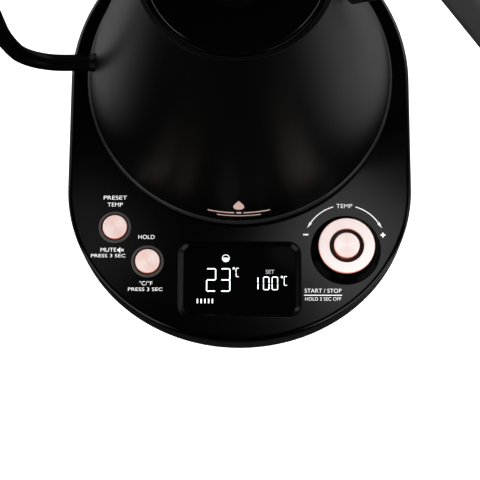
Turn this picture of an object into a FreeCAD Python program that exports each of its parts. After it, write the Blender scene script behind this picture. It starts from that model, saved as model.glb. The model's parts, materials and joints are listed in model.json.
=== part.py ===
"""Electric gooseneck kettle on a 360-degree base with a control panel, modelled piece by piece.

Millimetres, +Z up. Everything is built around the kettle's own axis at x = 0, y = 0, with the table at
z = 0, the spout towards -X, the handle towards +X and the control panel towards -Y. When the pieces are
written, they are moved so that the origin is the centre of the whole object's box, at table level.
"""
import FreeCAD, Part
import math
import os

from FreeCAD import Vector

UP = Vector(0, 0, 1)
FULL_TURN = 360.0
HALF_TURN = 180.0

# Base: rear half round about the kettle's axis, straight sides, front half of an ellipse
BASE_R = 83.9
BASE_STRAIGHT = 56.0
BASE_FRONT = 76.0
DECK_Z = 24.0
DECK_WALL = 2.4
DECK_EDGE_ROUND = 2.0
SPLIT_Z = 9.0
FLOOR_Z = 2.5
FLOOR_WALL = 2.0
FLOOR_INSET = 1.2
LIP_HEIGHT = 2.0
LIP_WALL = 1.4
FIT_GAP = 0.3
FOOT_R = 7.0
FOOT_SEAT = 0.8
FOOT_ROUND = 0.8
FEET = [(50.0, 48.0), (-50.0, 48.0), (60.0, -80.0), (-60.0, -80.0), (0.0, -120.0)]
BOSS_R = 3.5
BOSS_GAP = 1.0
BOSS_AT = [(0.0, 71.0), (68.0, -14.0), (-68.0, -14.0), (38.0, -113.0), (-38.0, -113.0)]
SCREW_R = 1.3
SCREW_HEAD_R = 2.6
SCREW_HEAD = 1.6
SCREW_LENGTH = 13.0

# Boards and what stands on them
BOARD = 1.6
PANEL_BOARD_Z = 10.0
PANEL_BOARD_INSET = 8.0
PANEL_BOARD_Y = (-116.0, -66.0)
POWER_BOARD_Z = 8.0
POWER_BOARD_X = (-34.0, 34.0)
POWER_BOARD_Y = (34.0, 60.0)
POST_R = 2.5
PANEL_POSTS = [(39.6, -104.0), (-39.6, -104.0), (39.6, -72.0), (-39.6, -72.0)]
POWER_POSTS = [(30.0, 38.0), (-30.0, 38.0), (30.0, 56.0), (-30.0, 56.0)]
RELAY = (19.0, 15.0, 10.0)
RELAY_X = -14.0
BUZZER_R = 6.0
BUZZER_HEIGHT = 5.0
BUZZER_HOLE = 1.0
BUZZER_AT = (-22.0, -74.0)

# Display
WINDOW_AT = (0.2, -101.8)
RECESS = (57.8, 36.0)
RECESS_ROUND = 5.5
RECESS_DEPTH = 1.2
WINDOW = (54.0, 33.6)
WINDOW_ROUND = 4.0
WINDOW_FLANGE = 3.0
FLANGE_THICK = 1.5
MODULE = (50.0, 30.0)

# Push buttons
BUTTONS = {"custom": (-60.2, -76.2), "hold": (-44.1, -93.1)}
BUTTON_R = 5.9
BUTTON_GAP = 0.35
BUTTON_TOP = 1.7
BUTTON_ROUND = 0.6
BUTTON_LIP = 1.1
BUTTON_STEM_R = 2.0
BUTTON_TRAVEL = 1.0
BEZEL_R = 7.85
BEZEL_HEIGHT = 1.0
BEZEL_DRAFT = 0.3
BEZEL_BEVEL = 0.4
SWITCH = 6.2
SWITCH_HEIGHT = 2.4
PLUNGER_R = 1.7
PLUNGER = 0.5

# Temperature knob with the start button in its centre
KNOB_AT = (51.4, -87.3)
KNOB_GAP = 0.4
KNOB_HEIGHT = 8.4
KNOB_FLARE = [(13.6, 5.2), (14.5, 2.8), (16.5, 0.9), (17.0, 0.0)]
KNOB_FOOT = 1.8
KNOB_HOLLOW_R = 11.6
KNOB_HOLLOW = (0.4, 1.4)
RING_R = (8.2, 13.4)
RING_THICK = 1.6
RING_EASE = 0.5
RING_GAP = 0.05
SEAT_STEP = 0.7
WELL_R = 6.5
START_R = 6.15
START_PROUD = 0.7
START_GAP = 1.3
START_ROUND = 0.7
SHAFT_R = 3.0
SHAFT_FIT = 0.05
SHAFT_END_GAP = 1.0
ENCODER = 12.6
ENCODER_HEIGHT = 6.6
BUSHING_R = 3.7

# 360-degree connector
PIN_R = 3.0
PIN_TOP = 35.0
PIN_ROUND = 1.5
TOWER_R = 16.0
TOWER_TOP = 31.0
TOWER_FLANGE_R = 27.0
TOWER_FLANGE_Z = (14.0, 19.0)
CONTACT_R = (9.8, 10.8)
CONTACT_TOP = 33.0
CONTACT_DEPTH = 1.5
SUPPORT_R = (22.0, 25.0)
SHROUD_R = (16.5, 22.2)
SHROUD_TOP = 30.5
SHROUD_FLANGE_R = 25.0
SOCKET_R = 25.4
SOCKET_TOP = 36.2
SOCKET_GAP = 0.5
SLOT_GAP = 0.4

# Cord inlet at the rear of the base
INLET_Z = 14.8
INLET_BORE_R = 3.4
INLET_R = 4.9
INLET_FLANGE_R = 6.2
INLET_FLANGE = 1.2
INLET_OVERLAP = 1.0
INLET_STEP = 0.6
INLET_DEPTH = 7.0

# Kettle body
BODY_R_LOW = 74.7
BODY_Z_LOW = 27.6
BODY_R_TOP = 41.6
BODY_Z_TOP = 160.3
BODY_WALL = 1.0
FOOT_RING_Z = 26.2
FOOT_RING_R = (73.35, 75.3)
FOOT_RING_EASE = 0.5
FOOT_RING_STEP = 0.3
COVER_Z = DECK_Z + FIT_GAP
COVER_STEP = 1.0
STAND_R = (66.0, 71.2)
SHELF_Z = (27.0, 27.4)
RIM_R = (70.7, 72.8)
RIM_TOP = 30.5
RIM_LEAN = 0.6
PLATE_Z = 38.5
PLATE = 1.5
SPREADER_R = 62.0
SPREADER = 2.0
SEAL = 1.5
ELEMENT_R = 47.0
ELEMENT_TUBE = 3.0
ELEMENT_SWEEP = 320.0
THERMOSTAT_R = 6.5
THERMOSTAT_AT = (0.0, 34.0)
THERMOSTAT_HEIGHT = 6.0
PROBE_R = 3.0
PROBE_TOP = 45.0
PROBE_ROUND = 1.5
PROBE_NUT_R = 5.0
PROBE_NUT = 1.2
COVER_SCREW_R = 57.0
COVER_SCREWS = 3
COVER_SCREW_SINK = 1.2
COVER_SCREW_BITE = 1.0

# Mouth and lid
MOUTH_R = 39.7
MOUTH_WALL = 0.8
MOUTH_EASE = 0.3
MOUTH_SEAM = (2.0, 2.5)
LEDGE_R = 38.4
LEDGE_Z = (154.5, 156.5)
LID_R = 39.3
LID_TOP = 159.8
LID_LIP = 0.3
LID_EDGE = (0.4, 0.5)
LID_BORDER = (1.8, 2.1)
LINER_R = 36.9
LINER_Z = 147.0
LINER_WALL = 0.8
GASKET_R = 38.1
GASKET_RISE = 2.0
GASKET_LIP = (0.4, 1.0)
GASKET_GROOVE = (1.6, 2.4)
GASKET_TALL = 4.0
LID_KNOB_R = 11.5
LID_KNOB_HEIGHT = 19.0
LID_KNOB_WAIST = [(8.0, 0.0), (7.6, 1.2), (5.6, 4.0), (5.4, 7.0), (7.6, 11.0), (11.5, 14.0)]
LID_KNOB_EDGE = 1.6
LID_SCREW_R = 1.6
LID_SCREW_HEAD_R = 4.0
LID_SCREW_HEAD = 1.8
VENT_R = 1.2
VENT_RING = 22.0
VENTS = (60.0, 90.0, 120.0)

# Spout: straight out of the body, up, then over to the tip. Turns are (radius, degrees), runs are lengths
SPOUT_R = 4.05
SPOUT_WALL = 0.6
SPOUT_Z = 46.7
SPOUT_START = -62.0
SPOUT_ROUTE = [23.0, (21.0, -76.5), (116.0, -13.5), 19.5, (70.0, 25.0), (26.0, 80.0), 4.0]
COLLAR_R = 4.9
COLLAR_X = -72.2
COLLAR_BEVEL = 0.6
STRAINER_R = 5.8
STRAINER = 0.6
STRAINER_HOLE_R = 0.6
STRAINER_RINGS = [(0.0, 1), (2.0, 6), (4.0, 12)]

# Handle: arm rising from the body, a round turn and a straight grip that slopes down and out
HANDLE_START = (46.1, 147.0)
HANDLE_HEADING = 25.0
ARM_RUN = 22.4
TURN = (20.0, -91.5)
GRIP_RUN = 83.2
CAP_RUN = 6.0
GRIP_SIZE = (20.0, 22.0)
GRIP_ROUND = 8.0
CAP_ROUND = 3.5
CORE_SIZE = (12.0, 3.0)
CORE_RUN = 68.0
ROOT_SIZE = (15.0, 17.0)
ROOT_ROUND = 5.0
ROOT_RUN = 9.0
GRIP_SCREW_R = 1.6
GRIP_SCREW_HEAD_R = 2.8
GRIP_SCREW_HEAD = 2.0
GRIP_SCREW_SINK = 1.5
GRIP_SCREW_BITE = 2.0
GRIP_SCREWS_AT = (14.0, 54.0)

CONE_SLOPE = (BODY_R_LOW - BODY_R_TOP) / (BODY_Z_TOP - BODY_Z_LOW)
CONE_WALL = BODY_WALL / math.cos(math.atan(CONE_SLOPE))
DECK_UNDER = DECK_Z - DECK_WALL
FLOOR_TOP = FLOOR_Z + FLOOR_WALL
WINDOW_TOP = DECK_Z - RECESS_DEPTH
FLANGE_Z = DECK_UNDER - FLANGE_THICK
KNOB_Z = DECK_Z + KNOB_GAP
RING_Z = DECK_Z + KNOB_HEIGHT
START_TOP = RING_Z + RING_THICK + START_PROUD
WELL_Z = DECK_Z + 4.0
PANEL_TOP = PANEL_BOARD_Z + BOARD
ENCODER_TOP = PANEL_TOP + ENCODER_HEIGHT


def revolved(points):
    """Solid of revolution about the kettle's axis from (radius, height) points."""
    corners = [Vector(r, 0, z) for r, z in points]
    outline = Part.makePolygon(corners + corners[:1])
    return Part.Face(outline).revolve(Vector(0, 0, 0), UP, FULL_TURN)


def disc(radius, low, high, at=(0.0, 0.0)):
    return Part.makeCylinder(radius, high - low, Vector(at[0], at[1], low), UP)


def tube(outer, inner, low, high, at=(0.0, 0.0)):
    return disc(outer, low, high, at).cut(disc(inner, low, high, at))


def block(x, y, z):
    """Box between two limits on each axis."""
    return Part.makeBox(x[1] - x[0], y[1] - y[0], z[1] - z[0], Vector(x[0], y[0], z[0]))


def centred_block(at, size, z):
    across, along = size
    x = (at[0] - across / 2, at[0] + across / 2)
    y = (at[1] - along / 2, at[1] + along / 2)
    return block(x, y, z)


def moved(shape, at):
    copy = shape.copy()
    copy.translate(Vector(at[0], at[1], 0))
    return copy


def rounded_wire(size, radius, at=(0.0, 0.0), z=0.0):
    """Rectangle with round corners, in a level plane."""
    half_x = size[0] / 2 - radius
    half_y = size[1] / 2 - radius
    edges = []
    last = None
    first = None
    for number, (sx, sy) in enumerate([(1, 1), (-1, 1), (-1, -1), (1, -1)]):
        centre = Vector(at[0] + sx * half_x, at[1] + sy * half_y, z)
        circle = Part.Circle(centre, UP, radius)
        start = math.radians(90.0 * number)
        arc = Part.Arc(circle, start, start + math.pi / 2).toShape()
        if last:
            edges.append(Part.makeLine(last, arc.firstVertex().Point))
        else:
            first = arc.firstVertex().Point
        edges.append(arc)
        last = arc.lastVertex().Point
    edges.append(Part.makeLine(last, first))
    return Part.Wire(edges)


def rounded_block(at, size, radius, low, high):
    face = Part.Face(rounded_wire(size, radius, at, low))
    return face.extrude(Vector(0, 0, high - low))


def base_prism(inset, low, high):
    """The base's plan outline, moved in by an inset, as an upright solid."""
    radius = BASE_R - inset
    front = BASE_FRONT - inset
    rear = Part.Arc(Part.Circle(Vector(0, 0, low), UP, radius), 0, math.pi).toShape()
    left = Part.makeLine(Vector(-radius, 0, low), Vector(-radius, -BASE_STRAIGHT, low))
    ellipse = Part.Ellipse(Vector(0, -BASE_STRAIGHT, low), radius, front)
    nose = Part.Arc(ellipse, math.pi, 2 * math.pi).toShape()
    right = Part.makeLine(Vector(radius, -BASE_STRAIGHT, low), Vector(radius, 0, low))
    face = Part.Face(Part.Wire([rear, left, nose, right]))
    return face.extrude(Vector(0, 0, high - low))


def cone_r(z):
    """Outer radius of the kettle's body at a height."""
    return BODY_R_LOW - (z - BODY_Z_LOW) * CONE_SLOPE


def cone_in(z):
    return cone_r(z) - CONE_WALL


def body_solid():
    """The body's outer form, filled in."""
    low, high = BODY_Z_LOW, BODY_Z_TOP
    return revolved([(0, low), (cone_r(low), low), (cone_r(high), high), (0, high)])


def placed(face, point, heading):
    """Puts a section drawn across +X at a point of the XZ plane, square to a heading in degrees."""
    section = face.copy()
    section.rotate(Vector(0, 0, 0), Vector(0, -1, 0), heading)
    section.translate(Vector(point[0], 0, point[1]))
    return section


def swept(face, point, heading, route):
    """Carries a section along runs and turns in the XZ plane. Returns the solid, end point and heading."""
    pieces = []
    x, z = point
    for step in route:
        section = placed(face, (x, z), heading)
        along = math.radians(heading)
        if isinstance(step, tuple):
            radius, turn = step
            side = math.copysign(radius, turn)
            cx = x - side * math.sin(along)
            cz = z + side * math.cos(along)
            pieces.append(section.revolve(Vector(cx, 0, cz), Vector(0, -1, 0), turn))
            heading += turn
            after = math.radians(heading)
            x = cx + side * math.sin(after)
            z = cz - side * math.cos(after)
        else:
            run = Vector(step * math.cos(along), 0, step * math.sin(along))
            pieces.append(section.extrude(run))
            x += run.x
            z += run.z
    solid = pieces[0]
    for piece in pieces[1:]:
        solid = solid.fuse(piece)
    return solid.removeSplitter(), (x, z), heading


def ring_section(outer, inner):
    """Annular section drawn across +X."""
    axis = Vector(1, 0, 0)
    rim = Part.Wire(Part.makeCircle(outer, Vector(0, 0, 0), axis))
    bore = Part.Wire(Part.makeCircle(inner, Vector(0, 0, 0), axis))
    return Part.Face(rim).cut(Part.Face(bore)).Faces[0]


def flat_section(size, radius=None):
    """Rectangular section drawn across +X, size (sideways, upwards), with round corners if asked."""
    if radius:
        face = Part.Face(rounded_wire((size[1], size[0]), radius))
    else:
        half_x, half_y = size[1] / 2, size[0] / 2
        corners = [(half_x, half_y), (-half_x, half_y), (-half_x, -half_y), (half_x, -half_y)]
        points = [Vector(x, y, 0) for x, y in corners]
        face = Part.Face(Part.makePolygon(points + points[:1]))
    face.rotate(Vector(0, 0, 0), Vector(0, 1, 0), 90.0)
    return face


def base_screw(at):
    """One screw from below, head sunk in the floor."""
    head = disc(SCREW_HEAD_R, FLOOR_Z, FLOOR_Z + SCREW_HEAD, at)
    shank = disc(SCREW_R, FLOOR_Z + SCREW_HEAD, FLOOR_Z + SCREW_LENGTH, at)
    return head.fuse(shank).removeSplitter()


def base_screws():
    return Part.makeCompound([base_screw(at) for at in BOSS_AT])


def deck_bosses():
    bosses = [disc(BOSS_R, FLOOR_TOP, DECK_UNDER, at) for at in BOSS_AT]
    return bosses[0].multiFuse(bosses[1:])


def base_top_cover():
    """Deck and side wall in one moulding, open below, with its screw bosses."""
    cover = base_prism(0.0, SPLIT_Z, DECK_Z)
    rim = [edge for edge in cover.Edges if all(abs(v.Z - DECK_Z) < 1e-6 for v in edge.Vertexes)]
    cover = cover.makeFillet(DECK_EDGE_ROUND, rim)
    cover = cover.cut(base_prism(DECK_WALL, SPLIT_Z, DECK_UNDER))
    cover = cover.fuse(deck_bosses())
    through = (DECK_UNDER - DECK_WALL, DECK_Z + DECK_WALL)
    cover = cover.cut(disc(SHROUD_R[1] + KNOB_GAP, *through))
    for at in BUTTONS.values():
        cover = cover.cut(disc(BUTTON_R + BUTTON_GAP, *through, at))
    cover = cover.cut(disc(BUSHING_R, *through, KNOB_AT))
    low = rounded_wire(WINDOW, WINDOW_ROUND, WINDOW_AT, WINDOW_TOP)
    high = rounded_wire(RECESS, RECESS_ROUND, WINDOW_AT, DECK_Z)
    cover = cover.cut(Part.makeLoft([low, high], True, True))
    cover = cover.cut(rounded_block(WINDOW_AT, WINDOW, WINDOW_ROUND, DECK_UNDER - DECK_WALL, WINDOW_TOP))
    cover = cover.cut(inlet_cylinder(INLET_R, BASE_R - 2 * INLET_DEPTH, BASE_R + INLET_DEPTH))
    for at in BOSS_AT:
        cover = cover.cut(base_screw(at))
    return cover.removeSplitter()


def base_floor():
    """Bottom pan with a locating lip, foot seats, board posts and the connector's support."""
    pan = base_prism(FLOOR_INSET, FLOOR_Z, SPLIT_Z)
    pan = pan.cut(base_prism(FLOOR_INSET + FLOOR_WALL, FLOOR_TOP, SPLIT_Z))
    inset = DECK_WALL + FIT_GAP / 2
    lip = base_prism(inset, FLOOR_TOP, SPLIT_Z + LIP_HEIGHT)
    lip = lip.cut(base_prism(inset + LIP_WALL, FLOOR_TOP, SPLIT_Z + LIP_HEIGHT))
    pan = pan.fuse(lip)
    pan = pan.fuse(tube(SUPPORT_R[1], SUPPORT_R[0], FLOOR_TOP, TOWER_FLANGE_Z[0]))
    for at in PANEL_POSTS:
        pan = pan.fuse(disc(POST_R, FLOOR_TOP, PANEL_BOARD_Z, at))
    for at in POWER_POSTS:
        pan = pan.fuse(disc(POST_R, FLOOR_TOP, POWER_BOARD_Z, at))
    for at in FEET:
        pan = pan.cut(disc(FOOT_R, FLOOR_Z, FLOOR_Z + FOOT_SEAT, at))
    for at in BOSS_AT:
        pan = pan.cut(disc(BOSS_R + FIT_GAP, FLOOR_TOP, SPLIT_Z + LIP_HEIGHT, at))
        pan = pan.cut(base_screw(at))
    pan = pan.cut(inlet_cylinder(INLET_FLANGE_R, BASE_R - 2 * INLET_DEPTH, BASE_R))
    return pan.removeSplitter()


def foot(at):
    """Rubber foot with a rounded edge where it meets the table."""
    pad = disc(FOOT_R, 0.0, FLOOR_Z + FOOT_SEAT, at)
    rim = [edge for edge in pad.Edges if edge.BoundBox.ZMax < 1e-6]
    return pad.makeFillet(FOOT_ROUND, rim)


def inlet_cylinder(radius, y_from, y_to):
    return Part.makeCylinder(radius, y_to - y_from, Vector(0, y_from, INLET_Z), Vector(0, 1, 0))


def cord_inlet():
    """Rubber grommet through the rear wall, flanged on both faces, with a bore for the cord."""
    wall_out = BASE_R
    wall_in = math.sqrt((BASE_R - DECK_WALL) ** 2 - INLET_FLANGE_R ** 2)
    neck = inlet_cylinder(INLET_R, wall_out - INLET_DEPTH, wall_out + INLET_FLANGE)
    outer = inlet_cylinder(INLET_FLANGE_R, wall_out - INLET_OVERLAP, wall_out + INLET_FLANGE)
    outer = outer.cut(disc(BASE_R, SPLIT_Z, DECK_Z))
    inner = inlet_cylinder(INLET_FLANGE_R - INLET_STEP, wall_out - INLET_DEPTH, wall_in)
    grommet = neck.fuse(outer).fuse(inner)
    bore = inlet_cylinder(INLET_BORE_R, wall_out - 2 * INLET_DEPTH, wall_out + INLET_DEPTH)
    return grommet.cut(bore).removeSplitter()


def panel_board():
    y_low, y_high = PANEL_BOARD_Y
    area = block((-BASE_R, BASE_R), (y_low, y_high), (PANEL_BOARD_Z, PANEL_TOP))
    board = base_prism(PANEL_BOARD_INSET, PANEL_BOARD_Z, PANEL_TOP).common(area)
    for at in BOSS_AT:
        board = board.cut(disc(BOSS_R + BOSS_GAP, PANEL_BOARD_Z, PANEL_TOP, at))
    return board.removeSplitter()


def power_board():
    return block(POWER_BOARD_X, POWER_BOARD_Y, (POWER_BOARD_Z, POWER_BOARD_Z + BOARD))


def relay():
    low = POWER_BOARD_Z + BOARD
    middle = (POWER_BOARD_Y[0] + POWER_BOARD_Y[1]) / 2
    return centred_block((RELAY_X, middle), RELAY[:2], (low, low + RELAY[2]))


def buzzer():
    top = PANEL_TOP + BUZZER_HEIGHT
    can = disc(BUZZER_R, PANEL_TOP, top, BUZZER_AT)
    return can.cut(disc(BUZZER_HOLE, top - BUZZER_HOLE, top, BUZZER_AT))


def display_window():
    """Smoked window, put in from below so that its flange holds it under the deck."""
    pane = rounded_block(WINDOW_AT, WINDOW, WINDOW_ROUND, FLANGE_Z, WINDOW_TOP)
    size = (WINDOW[0] + 2 * WINDOW_FLANGE, WINDOW[1] + 2 * WINDOW_FLANGE)
    flange = rounded_block(WINDOW_AT, size, WINDOW_ROUND, FLANGE_Z, DECK_UNDER)
    flange = flange.cut(deck_bosses())
    return pane.fuse(flange).removeSplitter()


def display_module():
    return centred_block(WINDOW_AT, MODULE, (PANEL_TOP, FLANGE_Z))


def switch(at):
    """Tactile switch under a push button."""
    case = centred_block(at, (SWITCH, SWITCH), (PANEL_TOP, PANEL_TOP + SWITCH_HEIGHT))
    top = PANEL_TOP + SWITCH_HEIGHT
    return case.fuse(disc(PLUNGER_R, top, top + PLUNGER, at)).removeSplitter()


def button(at):
    """Cap, retaining lip under the deck, and stem down to the switch."""
    top = DECK_Z + BUTTON_TOP
    bottom = PANEL_TOP + SWITCH_HEIGHT + PLUNGER + BUTTON_TRAVEL + FIT_GAP / 2
    lip_top = DECK_UNDER - FIT_GAP
    cap = disc(BUTTON_R, lip_top - BUTTON_LIP, top, at)
    edge = [e for e in cap.Edges if e.BoundBox.ZMin > top - 1e-6]
    cap = cap.makeFillet(BUTTON_ROUND, edge)
    lip = disc(BEZEL_R, lip_top - BUTTON_LIP, lip_top, at)
    stem = disc(BUTTON_STEM_R, bottom, lip_top - BUTTON_LIP, at)
    return cap.fuse(lip).fuse(stem).removeSplitter()


def button_bezel(at):
    """Low ring around a button, with a bevelled top."""
    inner = BUTTON_R + BUTTON_GAP
    top = DECK_Z + BEZEL_HEIGHT
    profile = [
        (inner, DECK_Z), (BEZEL_R, DECK_Z), (BEZEL_R - BEZEL_DRAFT, top), (inner + BEZEL_BEVEL, top),
        (inner, top - BEZEL_BEVEL),
    ]
    return moved(revolved(profile), at)


def encoder():
    """Rotary encoder on the panel board, its bushing reaching up through the deck."""
    case = centred_block(KNOB_AT, (ENCODER, ENCODER), (PANEL_TOP, ENCODER_TOP))
    bushing = disc(BUSHING_R, ENCODER_TOP, DECK_Z, KNOB_AT)
    bore = disc(SHAFT_R + SHAFT_FIT, PANEL_TOP + SHAFT_END_GAP, DECK_Z, KNOB_AT)
    return case.fuse(bushing).cut(bore).removeSplitter()


def knob_shaft():
    return disc(SHAFT_R, PANEL_TOP + SHAFT_END_GAP + FIT_GAP, WELL_Z, KNOB_AT)


def knob_skirt():
    """Flared knob body, hollow below, with a ring seat and a centre well."""
    step = RING_Z - SEAT_STEP
    inside = KNOB_FLARE[-1][0] - KNOB_FOOT
    low, high = KNOB_Z + KNOB_HOLLOW[0], KNOB_Z + KNOB_HOLLOW[1]
    profile = [(SHAFT_R, WELL_Z), (WELL_R, WELL_Z), (WELL_R, step), (RING_R[0], step), (RING_R[0], RING_Z)]
    profile += [(RING_R[1] + RING_GAP, RING_Z)]
    profile += [(radius, KNOB_Z + height) for radius, height in KNOB_FLARE]
    profile += [(inside, KNOB_Z), (inside, low), (KNOB_HOLLOW_R, high), (SHAFT_R, high)]
    return moved(revolved(profile), KNOB_AT)


def knob_ring():
    """Polished annular cap on the knob, both top edges eased."""
    inner, outer = RING_R
    low, high = RING_Z, RING_Z + RING_THICK
    ease = RING_EASE
    profile = [
        (inner, low), (outer, low), (outer, high - ease), (outer - ease, high), (inner + ease, high),
        (inner, high - ease),
    ]
    return moved(revolved(profile), KNOB_AT)


def start_button():
    button_solid = disc(START_R, WELL_Z + START_GAP, START_TOP, KNOB_AT)
    edge = [e for e in button_solid.Edges if e.BoundBox.ZMin > START_TOP - 1e-6]
    return button_solid.makeFillet(START_ROUND, edge)


def connector_tower():
    """Fixed half of the 360-degree connector, with a contact ring around its centre pin."""
    low, flange = TOWER_FLANGE_Z
    inner, outer = CONTACT_R
    seat = CONTACT_TOP - CONTACT_DEPTH
    return revolved([
        (PIN_R, low), (TOWER_FLANGE_R, low), (TOWER_FLANGE_R, flange), (TOWER_R, flange),
        (TOWER_R, TOWER_TOP), (outer, TOWER_TOP), (outer, seat), (inner, seat), (inner, TOWER_TOP),
        (PIN_R, TOWER_TOP),
    ])


def connector_contact():
    inner, outer = CONTACT_R
    return tube(outer, inner, CONTACT_TOP - CONTACT_DEPTH, CONTACT_TOP)


def connector_pin():
    pin = disc(PIN_R, TOWER_FLANGE_Z[0], PIN_TOP)
    tip = [e for e in pin.Edges if e.BoundBox.ZMin > PIN_TOP - 1e-6]
    return pin.makeFillet(PIN_ROUND, tip)


def connector_shroud():
    """Low-friction collar around the tower that turns with the kettle, held under the deck by its flange."""
    inner, outer = SHROUD_R
    low = TOWER_FLANGE_Z[1] + FIT_GAP
    return revolved([
        (inner, low), (SHROUD_FLANGE_R, low), (SHROUD_FLANGE_R, DECK_UNDER - FIT_GAP),
        (outer, DECK_UNDER - FIT_GAP), (outer, SHROUD_TOP), (inner, SHROUD_TOP),
    ])


def body_shell():
    """Conical steel body, open at the mouth and the bottom, with the spout's outlet hole."""
    low, high = BODY_Z_LOW, BODY_Z_TOP
    shell = revolved([(cone_in(low), low), (cone_r(low), low), (cone_r(high), high), (cone_in(high), high)])
    axis = Vector(-1, 0, 0)
    outlet = Part.makeCylinder(SPOUT_R - SPOUT_WALL, BODY_R_LOW, Vector(0, 0, SPOUT_Z), axis)
    return shell.cut(outlet)


def foot_ring():
    """Rolled bottom edge of the body."""
    inner, outer = FOOT_RING_R
    low, high = FOOT_RING_Z, BODY_Z_LOW
    ease, step = FOOT_RING_EASE, FOOT_RING_STEP
    return revolved([
        (inner, low), (outer - ease, low), (outer, low + ease), (outer, high - step), (cone_r(high), high),
        (cone_in(high), high), (inner, high - step),
    ])


def kettle_bottom():
    """Moulded bottom that closes the body and stands on the deck."""
    stand_in, stand_out = STAND_R
    rim_in, rim_out = RIM_R
    under, top = SHELF_Z
    step = COVER_Z + COVER_STEP
    cover = revolved([
        (stand_out, COVER_Z), (stand_out, under), (rim_out, under), (rim_out - RIM_LEAN, RIM_TOP),
        (rim_in, RIM_TOP), (rim_in, top), (SOCKET_R, top), (SOCKET_R, step), (stand_in, step),
        (stand_in, COVER_Z),
    ])
    for at in cover_screw_places():
        cover = cover.cut(cover_screw(at))
    return cover


def kettle_socket():
    """Turning half of the connector: a cup that takes the tower and its contact ring."""
    inner, outer = CONTACT_R
    cup = SHROUD_R[1] + KNOB_GAP
    low = COVER_Z + COVER_STEP
    floor = TOWER_TOP + SOCKET_GAP
    slot = CONTACT_TOP + SOCKET_GAP
    pin_bore = PIN_R + FIT_GAP
    return revolved([
        (cup, low), (SOCKET_R, low), (SOCKET_R, SOCKET_TOP), (0, SOCKET_TOP), (0, PIN_TOP + FIT_GAP),
        (pin_bore, PIN_TOP + FIT_GAP), (pin_bore, floor), (inner - SLOT_GAP, floor), (inner - SLOT_GAP, slot),
        (outer + SLOT_GAP, slot), (outer + SLOT_GAP, floor), (cup, floor),
    ])


def heating_plate():
    edge_low = cone_in(PLATE_Z) - SEAL
    edge_high = cone_in(PLATE_Z + PLATE) - SEAL
    plate = revolved([(0, PLATE_Z), (edge_low, PLATE_Z), (edge_high, PLATE_Z + PLATE), (0, PLATE_Z + PLATE)])
    return plate.cut(temperature_probe())


def plate_seal():
    low, high = PLATE_Z, PLATE_Z + PLATE
    return revolved([
        (cone_in(low) - SEAL, low), (cone_in(low), low), (cone_in(high), high), (cone_in(high) - SEAL, high),
    ])


def heat_spreader():
    spreader = disc(SPREADER_R, PLATE_Z - SPREADER, PLATE_Z).cut(temperature_probe())
    for at in cover_screw_places():
        spreader = spreader.cut(cover_screw(at))
    return spreader


def heating_element():
    """Sheathed element bent round under the spreader, open at the terminals."""
    z = PLATE_Z - SPREADER - ELEMENT_TUBE
    ring = Part.makeTorus(ELEMENT_R, ELEMENT_TUBE, Vector(0, 0, z), UP, 0, FULL_TURN, ELEMENT_SWEEP)
    ring.rotate(Vector(0, 0, 0), UP, (FULL_TURN - ELEMENT_SWEEP) / 2 - 90.0)
    return ring


def thermostat():
    high = PLATE_Z - SPREADER
    return disc(THERMOSTAT_R, high - THERMOSTAT_HEIGHT, high, THERMOSTAT_AT)


def temperature_probe():
    """Domed sensor through the middle of the plate."""
    low = PLATE_Z - SPREADER
    probe = disc(PROBE_R, low, PROBE_TOP)
    tip = [e for e in probe.Edges if e.BoundBox.ZMin > PROBE_TOP - 1e-6]
    probe = probe.makeFillet(PROBE_ROUND, tip)
    nut = disc(PROBE_NUT_R, PLATE_Z + PLATE, PLATE_Z + PLATE + PROBE_NUT)
    return probe.fuse(nut).removeSplitter()


def cover_screw_places():
    step = 2 * math.pi / COVER_SCREWS
    angles = [math.pi / 2 + number * step for number in range(COVER_SCREWS)]
    return [(COVER_SCREW_R * math.cos(a), COVER_SCREW_R * math.sin(a)) for a in angles]


def cover_screw(at):
    head_low = COVER_Z + COVER_SCREW_SINK
    head = disc(SCREW_HEAD_R, head_low, head_low + SCREW_HEAD, at)
    shank = disc(SCREW_R, head_low + SCREW_HEAD, PLATE_Z - COVER_SCREW_BITE, at)
    return head.fuse(shank).removeSplitter()


def cover_screws():
    return Part.makeCompound([cover_screw(at) for at in cover_screw_places()])


def mouth_ring():
    """Neck ring inside the top edge, with the ledge that carries the lid."""
    low, high = LEDGE_Z
    outer = MOUTH_R + MOUTH_WALL
    top = BODY_Z_TOP
    seam, neck = (top - drop for drop in MOUTH_SEAM)
    return revolved([
        (MOUTH_R, top - MOUTH_EASE), (MOUTH_R + MOUTH_EASE, top), (cone_in(top), top), (cone_in(seam), seam),
        (outer, neck), (outer, low), (LEDGE_R, low), (LEDGE_R, high), (MOUTH_R, high),
    ])


def lid_screw():
    head = disc(LID_SCREW_HEAD_R, LINER_Z - LID_SCREW_HEAD, LINER_Z)
    shank = disc(LID_SCREW_R, LINER_Z, LID_TOP + LID_KNOB_HEIGHT / 2)
    return head.fuse(shank).removeSplitter()


def lid_cap():
    """Lid's outer disc, with a low raised border and steam vents."""
    low = LEDGE_Z[1] + FIT_GAP
    edge = LID_TOP + LID_LIP
    cap = revolved([
        (0, low), (LID_R, low), (LID_R, edge - LID_EDGE[1]), (LID_R - LID_EDGE[0], edge),
        (LID_R - LID_BORDER[0], edge), (LID_R - LID_BORDER[1], LID_TOP), (0, LID_TOP),
    ])
    for angle in VENTS:
        cap = cap.cut(vent(angle, low, LID_TOP))
    return cap.cut(lid_screw())


def vent(angle, low, high):
    turn = math.radians(angle)
    return disc(VENT_R, low, high, (VENT_RING * math.cos(turn), VENT_RING * math.sin(turn)))


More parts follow.
